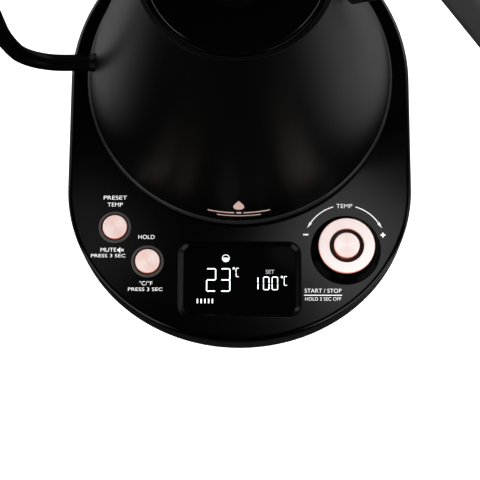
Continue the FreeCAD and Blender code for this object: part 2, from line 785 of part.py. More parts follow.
def lid_liner():
    """Steel cup under the lid."""
    top = LEDGE_Z[1] + FIT_GAP
    inner = LINER_R - LINER_WALL
    floor = LINER_Z + LINER_WALL
    liner = revolved([
        (0, LINER_Z), (LINER_R, LINER_Z), (LINER_R, top), (inner, top), (inner, floor), (0, floor),
    ])
    for angle in VENTS:
        liner = liner.cut(vent(angle, LINER_Z, floor))
    return liner.cut(lid_screw())


def lid_gasket():
    """Sealing ring around the liner, with two soft lips."""
    low = LINER_Z + GASKET_RISE
    high = low + GASKET_TALL
    near, far = GASKET_LIP
    groove_low, groove_high = GASKET_GROOVE
    groove_r = (LINER_R + GASKET_R) / 2
    return revolved([
        (LINER_R, low), (GASKET_R, low + near), (GASKET_R, low + far), (groove_r, low + groove_low),
        (groove_r, low + groove_high), (GASKET_R, high - far), (GASKET_R, high - near), (LINER_R, high),
    ])


def lid_knob():
    """Turned pull knob, waisted below a rounded head."""
    low = LID_TOP
    top = LID_TOP + LID_KNOB_HEIGHT
    waist = [(radius, low + height) for radius, height in LID_KNOB_WAIST]
    head = [(LID_KNOB_R, top - LID_KNOB_EDGE), (LID_KNOB_R - LID_KNOB_EDGE, top), (0, top)]
    return revolved([(0, low), *waist, *head]).cut(lid_screw())


def spout_tube():
    """Bent steel tube from the body to the pouring tip."""
    section = ring_section(SPOUT_R, SPOUT_R - SPOUT_WALL)
    neck, _, _ = swept(section, (SPOUT_START, SPOUT_Z), HALF_TURN, SPOUT_ROUTE)
    return neck.cut(body_solid())


def spout_collar():
    """Weld collar around the tube's root."""
    axis = Vector(1, 0, 0)
    reach = SPOUT_START - COLLAR_X
    ring = Part.makeCylinder(COLLAR_R, reach, Vector(COLLAR_X, 0, SPOUT_Z), axis)
    rim = [e for e in ring.Edges if e.BoundBox.XMax < COLLAR_X + 1e-6]
    ring = ring.makeChamfer(COLLAR_BEVEL, rim)
    ring = ring.cut(Part.makeCylinder(SPOUT_R, reach, Vector(COLLAR_X, 0, SPOUT_Z), axis))
    return ring.cut(body_solid())


def spout_strainer():
    """Perforated disc over the outlet, inside the body, leaning with the wall."""
    plate = Part.makeCylinder(STRAINER_R, STRAINER, Vector(0, 0, 0), UP)
    for radius, count in STRAINER_RINGS:
        for number in range(count):
            turn = 2 * math.pi * number / count
            at = Vector(radius * math.cos(turn), radius * math.sin(turn), 0)
            plate = plate.cut(Part.makeCylinder(STRAINER_HOLE_R, STRAINER, at, UP))
    lean = math.degrees(math.atan(CONE_SLOPE))
    plate.rotate(Vector(0, 0, 0), Vector(0, 1, 0), -90.0 + lean)
    gap = STRAINER_R ** 2 / (2 * cone_in(SPOUT_Z))
    plate.translate(Vector(-cone_in(SPOUT_Z) + gap + STRAINER + FIT_GAP, 0, SPOUT_Z))
    return plate


def handle_bracket():
    """Steel stub welded to the body, level with the arm's end face."""
    turn = math.radians(HANDLE_HEADING)
    start = (HANDLE_START[0] - ROOT_RUN * math.cos(turn), HANDLE_START[1] - ROOT_RUN * math.sin(turn))
    stub, _, _ = swept(flat_section(ROOT_SIZE, ROOT_ROUND), start, HANDLE_HEADING, [ROOT_RUN])
    return stub.cut(body_solid())


def handle_core():
    """Steel strap that runs from the stub through the arm into the grip."""
    route = [ARM_RUN, TURN, CORE_RUN]
    return swept(flat_section(CORE_SIZE), HANDLE_START, HANDLE_HEADING, route)[0]


def handle_joint():
    """End of the arm's straight run, where the grip takes over."""
    turn = math.radians(HANDLE_HEADING)
    return (HANDLE_START[0] + ARM_RUN * math.cos(turn), HANDLE_START[1] + ARM_RUN * math.sin(turn))


def handle_arm():
    section = flat_section(GRIP_SIZE, GRIP_ROUND)
    arm, _, _ = swept(section, HANDLE_START, HANDLE_HEADING, [ARM_RUN])
    return arm.cut(body_solid()).cut(handle_core())


def grip_screw(distance):
    """One screw through the finger side of the grip into the strap."""
    section = flat_section(GRIP_SIZE)
    _, point, heading = swept(section, handle_joint(), HANDLE_HEADING, [TURN, distance])
    along = math.radians(heading)
    out = Vector(-math.sin(along), 0, math.cos(along))
    centre = Vector(point[0], 0, point[1])
    half = GRIP_SIZE[1] / 2
    head_at = centre - out * (half - GRIP_SCREW_SINK)
    head = Part.makeCylinder(GRIP_SCREW_HEAD_R, GRIP_SCREW_HEAD, head_at, out)
    shank = Part.makeCylinder(GRIP_SCREW_R, half - GRIP_SCREW_SINK + GRIP_SCREW_BITE, head_at, out)
    depth = 2 * GRIP_SCREW_SINK
    sink = Part.makeCylinder(GRIP_SCREW_HEAD_R, depth, head_at - out * depth, out)
    return head.fuse(shank).removeSplitter(), sink


def handle_screws():
    return Part.makeCompound([grip_screw(distance)[0] for distance in GRIP_SCREWS_AT])


def handle_grip():
    section = flat_section(GRIP_SIZE, GRIP_ROUND)
    grip, _, _ = swept(section, handle_joint(), HANDLE_HEADING, [TURN, GRIP_RUN])
    grip = grip.cut(handle_core())
    for distance in GRIP_SCREWS_AT:
        screw, sink = grip_screw(distance)
        grip = grip.cut(screw).cut(sink)
    return grip


def strap_with_screw_holes():
    strap = handle_core()
    for distance in GRIP_SCREWS_AT:
        strap = strap.cut(grip_screw(distance)[0])
    return strap


def handle_cap():
    """Rounded end cap of the grip."""
    section = flat_section(GRIP_SIZE, GRIP_ROUND)
    _, point, heading = swept(section, handle_joint(), HANDLE_HEADING, [TURN, GRIP_RUN])
    cap, end, _ = swept(section, point, heading, [CAP_RUN])
    middle = Vector(end[0], 0, end[1])
    along = Vector(math.cos(math.radians(heading)), 0, math.sin(math.radians(heading)))
    rim = [e for e in cap.Edges if all(abs((v.Point - middle).dot(along)) < 1e-6 for v in e.Vertexes)]
    return cap.makeFillet(CAP_ROUND, rim)


def all_parts():
    parts = {
        "base_top_cover": base_top_cover(), "base_floor": base_floor(), "base_screws": base_screws(),
        "cord_inlet": cord_inlet(), "panel_board": panel_board(), "power_board": power_board(),
        "relay": relay(), "buzzer": buzzer(), "display_window": display_window(),
        "display_module": display_module(), "encoder": encoder(), "connector_tower": connector_tower(),
        "connector_contact": connector_contact(), "connector_pin": connector_pin(),
        "connector_shroud": connector_shroud(), "knob_shaft": knob_shaft(), "knob_skirt": knob_skirt(),
        "knob_ring": knob_ring(), "start_button": start_button(), "body_shell": body_shell(),
        "foot_ring": foot_ring(), "kettle_bottom": kettle_bottom(), "kettle_socket": kettle_socket(),
        "heating_plate": heating_plate(), "plate_seal": plate_seal(), "heat_spreader": heat_spreader(),
        "heating_element": heating_element(), "thermostat": thermostat(),
        "temperature_probe": temperature_probe(), "cover_screws": cover_screws(), "mouth_ring": mouth_ring(),
        "lid_cap": lid_cap(), "lid_liner": lid_liner(), "lid_gasket": lid_gasket(), "lid_knob": lid_knob(),
        "lid_screw": lid_screw(), "spout_tube": spout_tube(), "spout_collar": spout_collar(),
        "spout_strainer": spout_strainer(), "handle_bracket": handle_bracket(),
        "handle_core": strap_with_screw_holes(), "handle_arm": handle_arm(), "handle_grip": handle_grip(),
        "handle_cap": handle_cap(), "handle_screws": handle_screws(),
    }
    for number, at in enumerate(FEET, 1):
        parts[f"foot_{number}"] = foot(at)
    for name, at in BUTTONS.items():
        parts[f"{name}_button"] = button(at)
        parts[f"{name}_bezel"] = button_bezel(at)
        parts[f"{name}_switch"] = switch(at)
    return parts


def frame_shift(parts):
    """Move from the kettle's axis to the centre of the whole box, at table level."""
    box = Part.makeCompound(list(parts.values())).optimalBoundingBox(False)
    return Vector(-box.Center.x, -box.Center.y, 0)


def main():
    parts = all_parts()
    shift = frame_shift(parts)
    os.makedirs("parts", exist_ok=True)
    for name, shape in parts.items():
        placed_shape = shape.copy()
        placed_shape.translate(shift)
        placed_shape.exportStep(f"parts/{name}.step")
        print(name, len(placed_shape.Solids), round(placed_shape.Volume, 1), placed_shape.isValid())
    print("kettle axis in the frame", round(shift.x, 4), round(shift.y, 4))


main()
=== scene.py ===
"""Looks of the gooseneck kettle on its control base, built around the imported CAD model.

Metres, +Z up, in the CAD frame. The kettle's axis and the knob's axis come from the joints, other places
from the CAD nodes' boxes. Black satin and gloss mouldings, rose-coloured spun metal and white legends.
"""
import json
import math

import bmesh
import bpy
from mathutils import Matrix, Vector


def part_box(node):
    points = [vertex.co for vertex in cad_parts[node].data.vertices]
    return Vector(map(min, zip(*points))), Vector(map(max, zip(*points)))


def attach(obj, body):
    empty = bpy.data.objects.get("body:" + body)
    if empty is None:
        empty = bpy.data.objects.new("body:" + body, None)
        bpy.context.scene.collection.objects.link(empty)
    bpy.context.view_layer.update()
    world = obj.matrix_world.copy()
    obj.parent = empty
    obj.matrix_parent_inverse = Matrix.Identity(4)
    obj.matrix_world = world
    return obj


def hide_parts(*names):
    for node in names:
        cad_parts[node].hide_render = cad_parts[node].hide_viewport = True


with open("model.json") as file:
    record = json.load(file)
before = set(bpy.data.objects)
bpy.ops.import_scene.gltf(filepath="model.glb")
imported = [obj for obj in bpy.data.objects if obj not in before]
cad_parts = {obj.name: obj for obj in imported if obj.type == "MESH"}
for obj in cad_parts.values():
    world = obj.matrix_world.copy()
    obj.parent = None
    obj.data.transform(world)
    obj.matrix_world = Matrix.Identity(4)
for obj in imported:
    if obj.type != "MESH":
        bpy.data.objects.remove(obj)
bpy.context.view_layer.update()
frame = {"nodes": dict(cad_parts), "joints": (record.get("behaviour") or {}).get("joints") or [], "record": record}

MM = 0.001
TAU = 2 * math.pi
SMOOTH_ANGLE = math.radians(32.0)
# Steps around a turned piece and around a rounded edge, and the degrees from step to step of a bend
RING_STEPS = 160
EDGE_STEPS = 8
BEND_STEP = 3.0
# A radius this small counts as a point on the axis
POLE = 1e-7

JOINTS = {joint["name"]: joint for joint in frame["joints"]}
AXIS = Vector(JOINTS["kettle_swivel"]["pos_m"])
KNOB = Vector(JOINTS["knob_turn"]["pos_m"])


def centre_of(node):
    low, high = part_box(node)
    return (low + high) / 2


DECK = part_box("base_top_cover")[1].z
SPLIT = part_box("base_top_cover")[0].z
BASE_R = (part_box("base_top_cover")[1].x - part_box("base_top_cover")[0].x) / 2
BASE_STRAIGHT = 56.0 * MM
BASE_FRONT = 76.0 * MM
DECK_WALL = 2.4 * MM
DECK_ROUND = 2.0 * MM
BUTTON_HOLE_R = 6.25 * MM
BUSHING_HOLE_R = 3.7 * MM
CONNECTOR_HOLE_R = 22.6 * MM
RECESS = (57.8 * MM, 36.0 * MM, 5.5 * MM)
WINDOW = (54.0 * MM, 33.6 * MM, 4.0 * MM)
RECESS_DEPTH = 1.2 * MM


# ---- materials

PLASTIC_IOR = 1.5
# Mouldings: size and share of the cloudy gloss, how far the colour drifts, the grain's depth in metres
CLOUD_SCALE = 38.0
CLOUD_SHARE = 0.65
COLOUR_DRIFT = 1.18
GRAIN_DEPTH = 0.00004
# Turned metal: stretch of its highlights, shares in its colour of a painted sheen fanning about its axis, of that
# sheen's painted streaks and of the turning rings, then its shader's values and the painted coral reflection at
# its sides, noise scales, rings, the range in which its colour turns from that side reflection to the face, and
# its gloss's drift
SPUN_STRETCH = 0.55
PAINTED_SHEEN_SHARE = 0.55
SHEEN_STREAK_SHARE = 0.25
RING_SHARE = 0.3
SPUN_METALLIC = 0.4
SPUN_ROUGHNESS = 0.32
PAINTED_EDGE_REFLECTION = (0.80, 0.22, 0.15)
SPUN_RING_SCALE = 5200.0
SHEEN_STREAK_SCALE = 26.0
SPUN_CLOUD_SCALE = 120.0
SPUN_RING_BUMP = 0.22
SPUN_RING_DEPTH = 0.00003
SPUN_RING_GLOSS = 0.7
EDGE_REFLECTION_RANGE = (0.55, 0.97)
GLOSS_DRIFT = 0.08
# Brushed metal: scales of its streaks and its cloud, the streaks' share of the gloss, its drift and bump
BRUSH_SCALE = (60.0, 60.0, 2400.0)
BRUSH_CLOUD_SCALE = 45.0
BRUSH_SHARE = 0.6
BRUSH_DRIFT = 0.09
BRUSH_BUMP = 0.12


class Nodes:
    """A small helper that adds nodes to a tree and links them."""

    def __init__(self, tree):
        self.tree = tree
        tree.nodes.clear()

    def add(self, kind, **settings):
        node = self.tree.nodes.new(kind)
        for key, value in settings.items():
            setattr(node, key, value)
        return node

    def link(self, source, target):
        self.tree.links.new(source, target)

    def feed(self, socket, value):
        """Links an input socket to another socket, or sets its value."""
        if isinstance(value, bpy.types.NodeSocket):
            self.link(value, socket)
        else:
            socket.default_value = value

    def set(self, node, **values):
        """Feeds input sockets by name, with underscores for the spaces."""
        for key, value in values.items():
            self.feed(node.inputs[key.replace("_", " ")], value)

    def math(self, operation, *values):
        node = self.add("ShaderNodeMath", operation=operation)
        for slot, value in enumerate(values):
            self.feed(node.inputs[slot], value)
        return node.outputs[0]

    def noise(self, vector, scale, detail=3.0, dimensions="3D"):
        node = self.add("ShaderNodeTexNoise", noise_dimensions=dimensions)
        self.set(node, Scale=scale, Detail=detail)
        self.link(vector, node.inputs["W" if dimensions == "1D" else "Vector"])
        return node.outputs["Fac"]

    def remap(self, value, low, high, from_low=0.0, from_high=1.0, smooth=False):
        node = self.add("ShaderNodeMapRange")
        if smooth:
            node.interpolation_type = "SMOOTHSTEP"
        self.set(node, Value=value, From_Min=from_low, From_Max=from_high, To_Min=low, To_Max=high)
        return node.outputs["Result"]

    def mix(self, factor, dark, light):
        node = self.add("ShaderNodeMix", data_type="RGBA")
        self.link(factor, node.inputs["Factor"])
        node.inputs[6].default_value = (*dark, 1.0)
        node.inputs[7].default_value = (*light, 1.0)
        return node.outputs[2]

    def split(self, vector):
        """The x, y and z of a vector."""
        node = self.add("ShaderNodeSeparateXYZ")
        self.link(vector, node.inputs[0])
        return node.outputs

    def mix_shader(self, factor, first, second):
        node = self.add("ShaderNodeMixShader")
        for slot, source in enumerate((factor, first, second)):
            self.link(source, node.inputs[slot])
        return node.outputs[0]

    def blend(self, first, second, share):
        """Weighted sum of two values."""
        rest = self.math("MULTIPLY", second, 1 - share)
        return self.math("ADD", self.math("MULTIPLY", first, share), rest)

    def bump(self, height, strength, distance):
        node = self.add("ShaderNodeBump")
        self.set(node, Height=height, Strength=strength, Distance=distance)
        return node.outputs["Normal"]


def new_material(name, metallic=0.0, specular=0.5):
    """Material with a Principled shader whose constants are set on its own sockets."""
    material = bpy.data.materials.new(name)
    material.use_nodes = True
    nodes = Nodes(material.node_tree)
    shader = nodes.add("ShaderNodeBsdfPrincipled")
    output = nodes.add("ShaderNodeOutputMaterial")
    nodes.link(shader.outputs[0], output.inputs[0])
    nodes.set(shader, Metallic=metallic, IOR=PLASTIC_IOR, Specular_IOR_Level=specular)
    coords = nodes.add("ShaderNodeTexCoord").outputs["Object"]
    return material, nodes, shader, coords


def moulded(name, colour, roughness, grain=0.0, grain_scale=2600.0, variation=0.04, **shader_settings):
    """Plastic, paint or rubber: cloudy gloss, slight colour drift and a fine grain in the surface."""
    material, nodes, shader, coords = new_material(name, **shader_settings)
    cloud = nodes.noise(coords, CLOUD_SCALE, 4.0)
    fine = nodes.noise(coords, grain_scale, 2.0)
    light = tuple(min(1.0, c * COLOUR_DRIFT + 0.0002) for c in colour)
    both = nodes.blend(cloud, fine, CLOUD_SHARE)
    gloss = nodes.remap(both, roughness - variation, roughness + variation)
    nodes.set(shader, Base_Color=nodes.mix(cloud, colour, light), Roughness=gloss)
    if grain:
        nodes.set(shader, Normal=nodes.bump(fine, grain, GRAIN_DEPTH))
    return material


def spun_metal(name, dark, light, sheen_lobes=2.0, sheen_phase=0.0):
    """Metal turned on a lathe: fine rings, a painted sheen fanning about its axis and a painted coral reflection
    at its sides.
    """
    material, nodes, shader, coords = new_material(name, metallic=SPUN_METALLIC)
    nodes.set(shader, Anisotropic=SPUN_STRETCH)
    x, y, _ = nodes.split(coords)
    squares = nodes.math("ADD", nodes.math("MULTIPLY", x, x), nodes.math("MULTIPLY", y, y))
    radius = nodes.math("SQRT", squares)
    rings = nodes.noise(radius, SPUN_RING_SCALE, 3.0, "1D")
    cloud = nodes.noise(coords, SPUN_CLOUD_SCALE, 3.0)
    facing = nodes.split(nodes.add("ShaderNodeTexCoord").outputs["Normal"])[2]
    angle = nodes.math("ARCTAN2", y, x)
    sheen_wave = nodes.math("COSINE", nodes.math("SUBTRACT", nodes.math("MULTIPLY", angle, sheen_lobes), sheen_phase))
    streaks = nodes.math("MULTIPLY", nodes.noise(angle, SHEEN_STREAK_SCALE, 3.0, "1D"), SHEEN_STREAK_SHARE)
    painted_sheen = nodes.math("ADD", nodes.remap(sheen_wave, 0.0, PAINTED_SHEEN_SHARE, -1.0, 1.0), streaks)
    # Face colour: a painted sheen between a shaded tone (dark) and a lit tone (light), fanning about the axis with
    # painted streaks, plus the real turning rings
    face = nodes.mix(nodes.math("ADD", painted_sheen, nodes.math("MULTIPLY", rings, RING_SHARE)), dark, light)
    # Painted reflection: where the surface leans away from straight up, the colour turns to the coral edge
    # reflection
    sides = nodes.mix(nodes.remap(facing, 0.0, 1.0, *EDGE_REFLECTION_RANGE, smooth=True), PAINTED_EDGE_REFLECTION, light)
    nodes.link(face, sides.node.inputs[7])
    blend = nodes.blend(rings, cloud, SPUN_RING_GLOSS)
    gloss = nodes.remap(blend, SPUN_ROUGHNESS - GLOSS_DRIFT, SPUN_ROUGHNESS + GLOSS_DRIFT)
    tangent = nodes.add("ShaderNodeTangent", direction_type="RADIAL", axis="Z")
    normal = nodes.bump(rings, SPUN_RING_BUMP, SPUN_RING_DEPTH)
    nodes.set(shader, Base_Color=sides, Roughness=gloss, Normal=normal, Tangent=tangent.outputs[0])
    return material


def brushed_metal(name, dark, light, roughness):
    """Sheet steel or alloy with fine brushing around the vertical axis."""
    material, nodes, shader, coords = new_material(name, metallic=1.0)
    mapping = nodes.add("ShaderNodeMapping")
    nodes.set(mapping, Vector=coords, Scale=BRUSH_SCALE)
    streaks = nodes.noise(mapping.outputs[0], 1.0, 4.0)
    cloud = nodes.noise(coords, BRUSH_CLOUD_SCALE, 3.0)
    blend = nodes.blend(streaks, cloud, BRUSH_SHARE)
    gloss = nodes.remap(blend, roughness - BRUSH_DRIFT, roughness + BRUSH_DRIFT)
    normal = nodes.bump(streaks, BRUSH_BUMP, GRAIN_DEPTH)
    nodes.set(shader, Base_Color=nodes.mix(streaks, dark, light), Roughness=gloss, Normal=normal)
    return material


def glowing(name, colour, strength):
    """Lit segments: slightly uneven white light under the window."""
    material, nodes, shader, coords = new_material(name)
    cloud = nodes.noise(coords, 900.0, 2.0)
    light = tuple(min(1.0, c * 1.05) for c in colour)
    nodes.set(shader, Base_Color=(*colour, 1.0), Roughness=nodes.remap(cloud, 0.35, 0.5),
              Emission_Color=nodes.mix(cloud, colour, light), Emission_Strength=strength)
    return material


MATERIALS = {
    "deck": moulded("deck_satin", (0.0002, 0.0002, 0.0002), 0.145, grain=0.06, variation=0.02),
    "floor_plastic": moulded("floor_texture", (0.002, 0.002, 0.0022), 0.52, grain=0.35, grain_scale=1700.0),
    "inner_plastic": moulded("inner_moulding", (0.018, 0.018, 0.019), 0.46, grain=0.2),
    "board": moulded("circuit_board", (0.010, 0.075, 0.030), 0.38, grain=0.15),
    "window": moulded("smoked_window", (0.0006, 0.0006, 0.0007), 0.06, variation=0.015, specular=0.03),
    "copper": brushed_metal("plated_contact", (0.60, 0.30, 0.16), (0.80, 0.46, 0.28), 0.28),
    "knob_black": moulded("knob_gloss", (0.0003, 0.0003, 0.0003), 0.16, grain=0.03, variation=0.03,
                          specular=0.035),
    # Button caps: rose metal with a two-lobed painted sheen
    "rose_metal": spun_metal("rose_spun", (0.90, 0.60, 0.54), (1.0, 0.84, 0.80), sheen_phase=1.0),
    "bezel": moulded("bezel_taupe", (0.048, 0.044, 0.041), 0.34, grain=0.05, metallic=0.2),
    "body_paint": moulded("body_satin_paint", (0.0004, 0.0004, 0.0004), 0.43, grain=0.07, grain_scale=3400.0,
                          specular=0.2),
    "lid_gloss": moulded("lid_gloss", (0.0003, 0.0003, 0.0003), 0.12, variation=0.03, specular=0.28),
    "grip": moulded("soft_grip", (0.021, 0.021, 0.0213), 0.42, grain=0.22, grain_scale=2200.0),
    "steel": brushed_metal("brushed_steel", (0.50, 0.50, 0.50), (0.70, 0.70, 0.69), 0.30),
    "dark_steel": brushed_metal("black_screw", (0.020, 0.020, 0.021), (0.045, 0.045, 0.046), 0.34),
    "alloy": brushed_metal("cast_alloy", (0.52, 0.52, 0.53), (0.68, 0.68, 0.69), 0.48),
    "silicone": moulded("silicone", (0.42, 0.42, 0.41), 0.55, grain=0.12),
    "rubber": moulded("rubber", (0.010, 0.010, 0.010), 0.72, grain=0.4, grain_scale=1500.0),
}
SPOUT_PAINT = moulded("spout_satin_paint", (0.0006, 0.0006, 0.0007), 0.34, grain=0.07, grain_scale=3400.0,
                      specular=0.1)
LEGEND_WHITE = moulded("legend_ink", (0.86, 0.86, 0.86), 0.5, grain=0.1, variation=0.05)
SEGMENT_WHITE = glowing("lit_segment", (0.93, 0.95, 0.96), 0.95)
SEGMENT_DIM = glowing("lit_segment_dim", (0.36, 0.37, 0.38), 0.3)
# Rolled foot: a lighter grey than the body paint, a painted highlight along the kettle's bottom edge
FOOT_HIGHLIGHT_GREY = moulded("foot_roll_painted_highlight", (0.008, 0.008, 0.0084), 0.28, grain=0.05)
RECESS_SATIN = moulded("recess_satin", (0.0002, 0.0002, 0.0002), 0.27, grain=0.06, variation=0.02,
                       specular=0.35)
GAP_SATIN = moulded("gap_satin", (0.007, 0.007, 0.007), 0.2, grain=0.03)
ARM_SATIN = moulded("arm_satin", (0.0008, 0.0008, 0.0009), 0.42, grain=0.22, grain_scale=2200.0,
                    specular=0.2)
# Paler copies of the rose metal for the knob: painted light, standing in for the stronger light there. The ring's
# single-lobed painted sheen is lightest towards its front right.
RING_METAL = spun_metal("rose_spun_pale", (0.98, 0.76, 0.72), (1.0, 0.99, 0.98), sheen_lobes=1.0, sheen_phase=-0.9)
START_METAL = spun_metal("rose_spun_start", (0.95, 0.72, 0.68), (1.0, 0.94, 0.92))
ROSE_INK = moulded("rose_print", (0.38, 0.26, 0.235), 0.36, grain=0.05)


# ---- mesh helpers

def soften(points, closed=True, steps=6):
    """Rounds the corners of a profile. Each point is (r, z) or (r, z, radius), in millimetres."""
    result = []
    count = len(points)
    for index, point in enumerate(points):
        here = Vector(point[:2])
        radius = point[2] if len(point) > 2 else 0.0
        inner = closed or 0 < index < count - 1
        if not radius or not inner:
            result.append(here)
            continue
        before = Vector(points[index - 1][:2]) - here
        after = Vector(points[(index + 1) % count][:2]) - here
        half = before.angle(after) / 2
        reach = min(radius / math.tan(half), before.length * 0.49, after.length * 0.49)
        round_r = reach * math.tan(half)
        start = here + before.normalized() * reach
        end = here + after.normalized() * reach
        middle = (before.normalized() + after.normalized()).normalized()
        centre = here + middle * (round_r / math.sin(half))
        for step in range(steps + 1):
            ray = (start - centre).lerp(end - centre, step / steps)
            result.append(centre + ray.normalized() * round_r)
    return [(p.x * MM, p.y * MM) for p in result]


def circle_loop(centre, radius, z, steps=RING_STEPS):
    angles = [TAU * step / steps for step in range(steps)]
    return [Vector((centre.x + radius * math.cos(a), centre.y + radius * math.sin(a), z)) for a in angles]


def rounded_loop(centre, size, z, grow=0.0, steps=12):
    """Rectangle with round corners: size is (width, depth, corner radius)."""
    width, depth, radius = size[0] / 2 + grow, size[1] / 2 + grow, size[2] + grow
    points = []
    for quarter, (sx, sy) in enumerate([(1, 1), (-1, 1), (-1, -1), (1, -1)]):
        cx = centre.x + sx * (width - radius)
        cy = centre.y + sy * (depth - radius)
        for step in range(steps + 1):
            angle = TAU / 4 * (quarter + step / steps)
            points.append(Vector((cx + radius * math.cos(angle), cy + radius * math.sin(angle), z)))
    return points


def base_loop(inset, z, arc_steps=110, side_steps=14):
    """The base's plan outline moved in by an inset: rear half round, straight sides, front half ellipse."""
    radius, front = BASE_R - inset, BASE_FRONT - inset
    points = []
    for step in range(arc_steps):
        angle = math.pi * step / arc_steps
        points.append(Vector((AXIS.x + radius * math.cos(angle), AXIS.y + radius * math.sin(angle), z)))
    for step in range(side_steps):
        points.append(Vector((AXIS.x - radius, AXIS.y - BASE_STRAIGHT * step / side_steps, z)))
    for step in range(arc_steps):
        angle = math.pi * (1 + step / arc_steps)
        y = AXIS.y - BASE_STRAIGHT + front * math.sin(angle)
        points.append(Vector((AXIS.x + radius * math.cos(angle), y, z)))
    for step in range(side_steps):
        points.append(Vector((AXIS.x + radius, AXIS.y - BASE_STRAIGHT * (1 - step / side_steps), z)))
    return points


def add_loop(mesh, points):
    return [mesh.verts.new(point) for point in points]


def bridge(mesh, first, second):
    count = len(first)
    for index in range(count):
        after = (index + 1) % count
        mesh.faces.new((first[index], first[after], second[after], second[index]))


def bridge_all(mesh, rings, closed=False):
    for first, second in zip(rings, rings[1:]):
        bridge(mesh, first, second)
    if closed:
        bridge(mesh, rings[-1], rings[0])


def fill(mesh, *loops):
    """Flat face between an outer loop and any holes in it."""
    edges = []
    for loop in loops:
        for index, vert in enumerate(loop):
            after = loop[(index + 1) % len(loop)]
            edges.append(mesh.edges.get((vert, after)) or mesh.edges.new((vert, after)))
    bmesh.ops.triangle_fill(mesh, use_beauty=True, edges=edges)


def add_object(name, data):
    item = bpy.data.objects.new(name, data)
    bpy.context.scene.collection.objects.link(item)
    return item


def turned_size(node):
    """Radius, foot and top of a round CAD node, in millimetres."""
    low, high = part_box(node)
    return (high.x - low.x) / 2 / MM, low.z / MM, high.z / MM


def finish_piece(mesh, name, body, slot, replaces=(), material=None, origin=None):
    """Turns a bmesh into a smooth-shaded piece that rides on a body. Its own origin is at origin."""
    bmesh.ops.recalc_face_normals(mesh, faces=mesh.faces)
    if origin:
        bmesh.ops.translate(mesh, verts=mesh.verts, vec=-origin)
    data = bpy.data.meshes.new(name)
    mesh.to_mesh(data)
    mesh.free()
    data.shade_smooth()
    data.set_sharp_from_angle(angle=SMOOTH_ANGLE)
    piece = add_object(name, data)
    piece.location = origin or Vector()
    data.materials.append(material or MATERIALS[slot])
    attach(piece, body)
    if replaces:
        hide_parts(*replaces)
    return piece


def lathe(name, profile, body, slot, replaces=(), centre=AXIS, steps=RING_STEPS, material=None):
    """Turned piece about a vertical axis. Its profile of (radius, height) is closed or runs pole to pole."""
    mesh = bmesh.new()
    spot = Vector((centre.x, centre.y, 0))
    rings = []
    for radius, z in profile:
        if radius < POLE:
            rings.append([mesh.verts.new(Vector((spot.x, spot.y, z)))])
        else:
            rings.append(add_loop(mesh, circle_loop(spot, radius, z, steps)))
    pairs = list(zip(rings, rings[1:]))
    if len(rings[0]) > 1 and len(rings[-1]) > 1:
        pairs.append((rings[-1], rings[0]))
    for first, second in pairs:
        if len(first) == 1 or len(second) == 1:
            pole, ring = (first[0], second) if len(first) == 1 else (second[0], first)
            for index in range(len(ring)):
                mesh.faces.new((pole, ring[index], ring[(index + 1) % len(ring)]))
        else:
            bridge(mesh, first, second)
    return finish_piece(mesh, name, body, slot, replaces, material, origin=spot)


def second_material(piece, material, radius, z):
    """Gives the faces of a turned piece inside a radius and above a height another material."""
    piece.data.materials.append(material)
    for face in piece.data.polygons:
        if math.hypot(face.center.x, face.center.y) < radius and face.center.z > z:
            face.material_index = 1


def route_points(start, heading, route, run_step=0.004):
    """Points and headings along runs and (radius, turn) bends in the XZ plane, in metres and degrees."""
    x, z = start
    result = [(x, z, heading)]
    for step in route:
        if isinstance(step, tuple):
            radius, turn = step
            side = math.copysign(radius, turn)
            along = math.radians(heading)
            cx, cz = x - side * math.sin(along), z + side * math.cos(along)
            count = max(2, math.ceil(abs(turn) / BEND_STEP))
            for part in range(1, count + 1):
                now = math.radians(heading + turn * part / count)
                x, z = cx + side * math.sin(now), cz - side * math.cos(now)
                result.append((x, z, math.degrees(now)))
            heading += turn
        else:
            along = math.radians(heading)
            count = max(1, math.ceil(step / run_step))
            for part in range(count):
                x += step / count * math.cos(along)
                z += step / count * math.sin(along)
                result.append((x, z, heading))
    return result


def section_ring(point, shape):
    """Places a section, a list of (sideways, upwards), square to the path at a (x, z, heading) point."""
    x, z, heading = point
    turn = math.radians(heading)
    across = Vector((-math.sin(turn), 0, math.cos(turn)))
    base = Vector((AXIS.x + x, AXIS.y, z))
    return [base + Vector((0, side, 0)) + across * up for side, up in shape]


def round_section(radius, steps=48):
    return [(radius * math.cos(TAU * n / steps), radius * math.sin(TAU * n / steps)) for n in range(steps)]


# ---- base

def button_centres():
    return {name: centre_of(f"{name}_button") for name in ("custom", "hold")}


def deck_holes():
    """Each round hole in the deck, as a function that gives its loop at a height, grown by a distance."""
    holes = [lambda z, grow, at=at: circle_loop(at, BUTTON_HOLE_R + grow, z, 96)
             for at in button_centres().values()]
    holes.append(lambda z, grow: circle_loop(KNOB, BUSHING_HOLE_R + grow, z, 96))
    holes.append(lambda z, grow: circle_loop(AXIS, CONNECTOR_HOLE_R + grow, z, 128))
    return holes


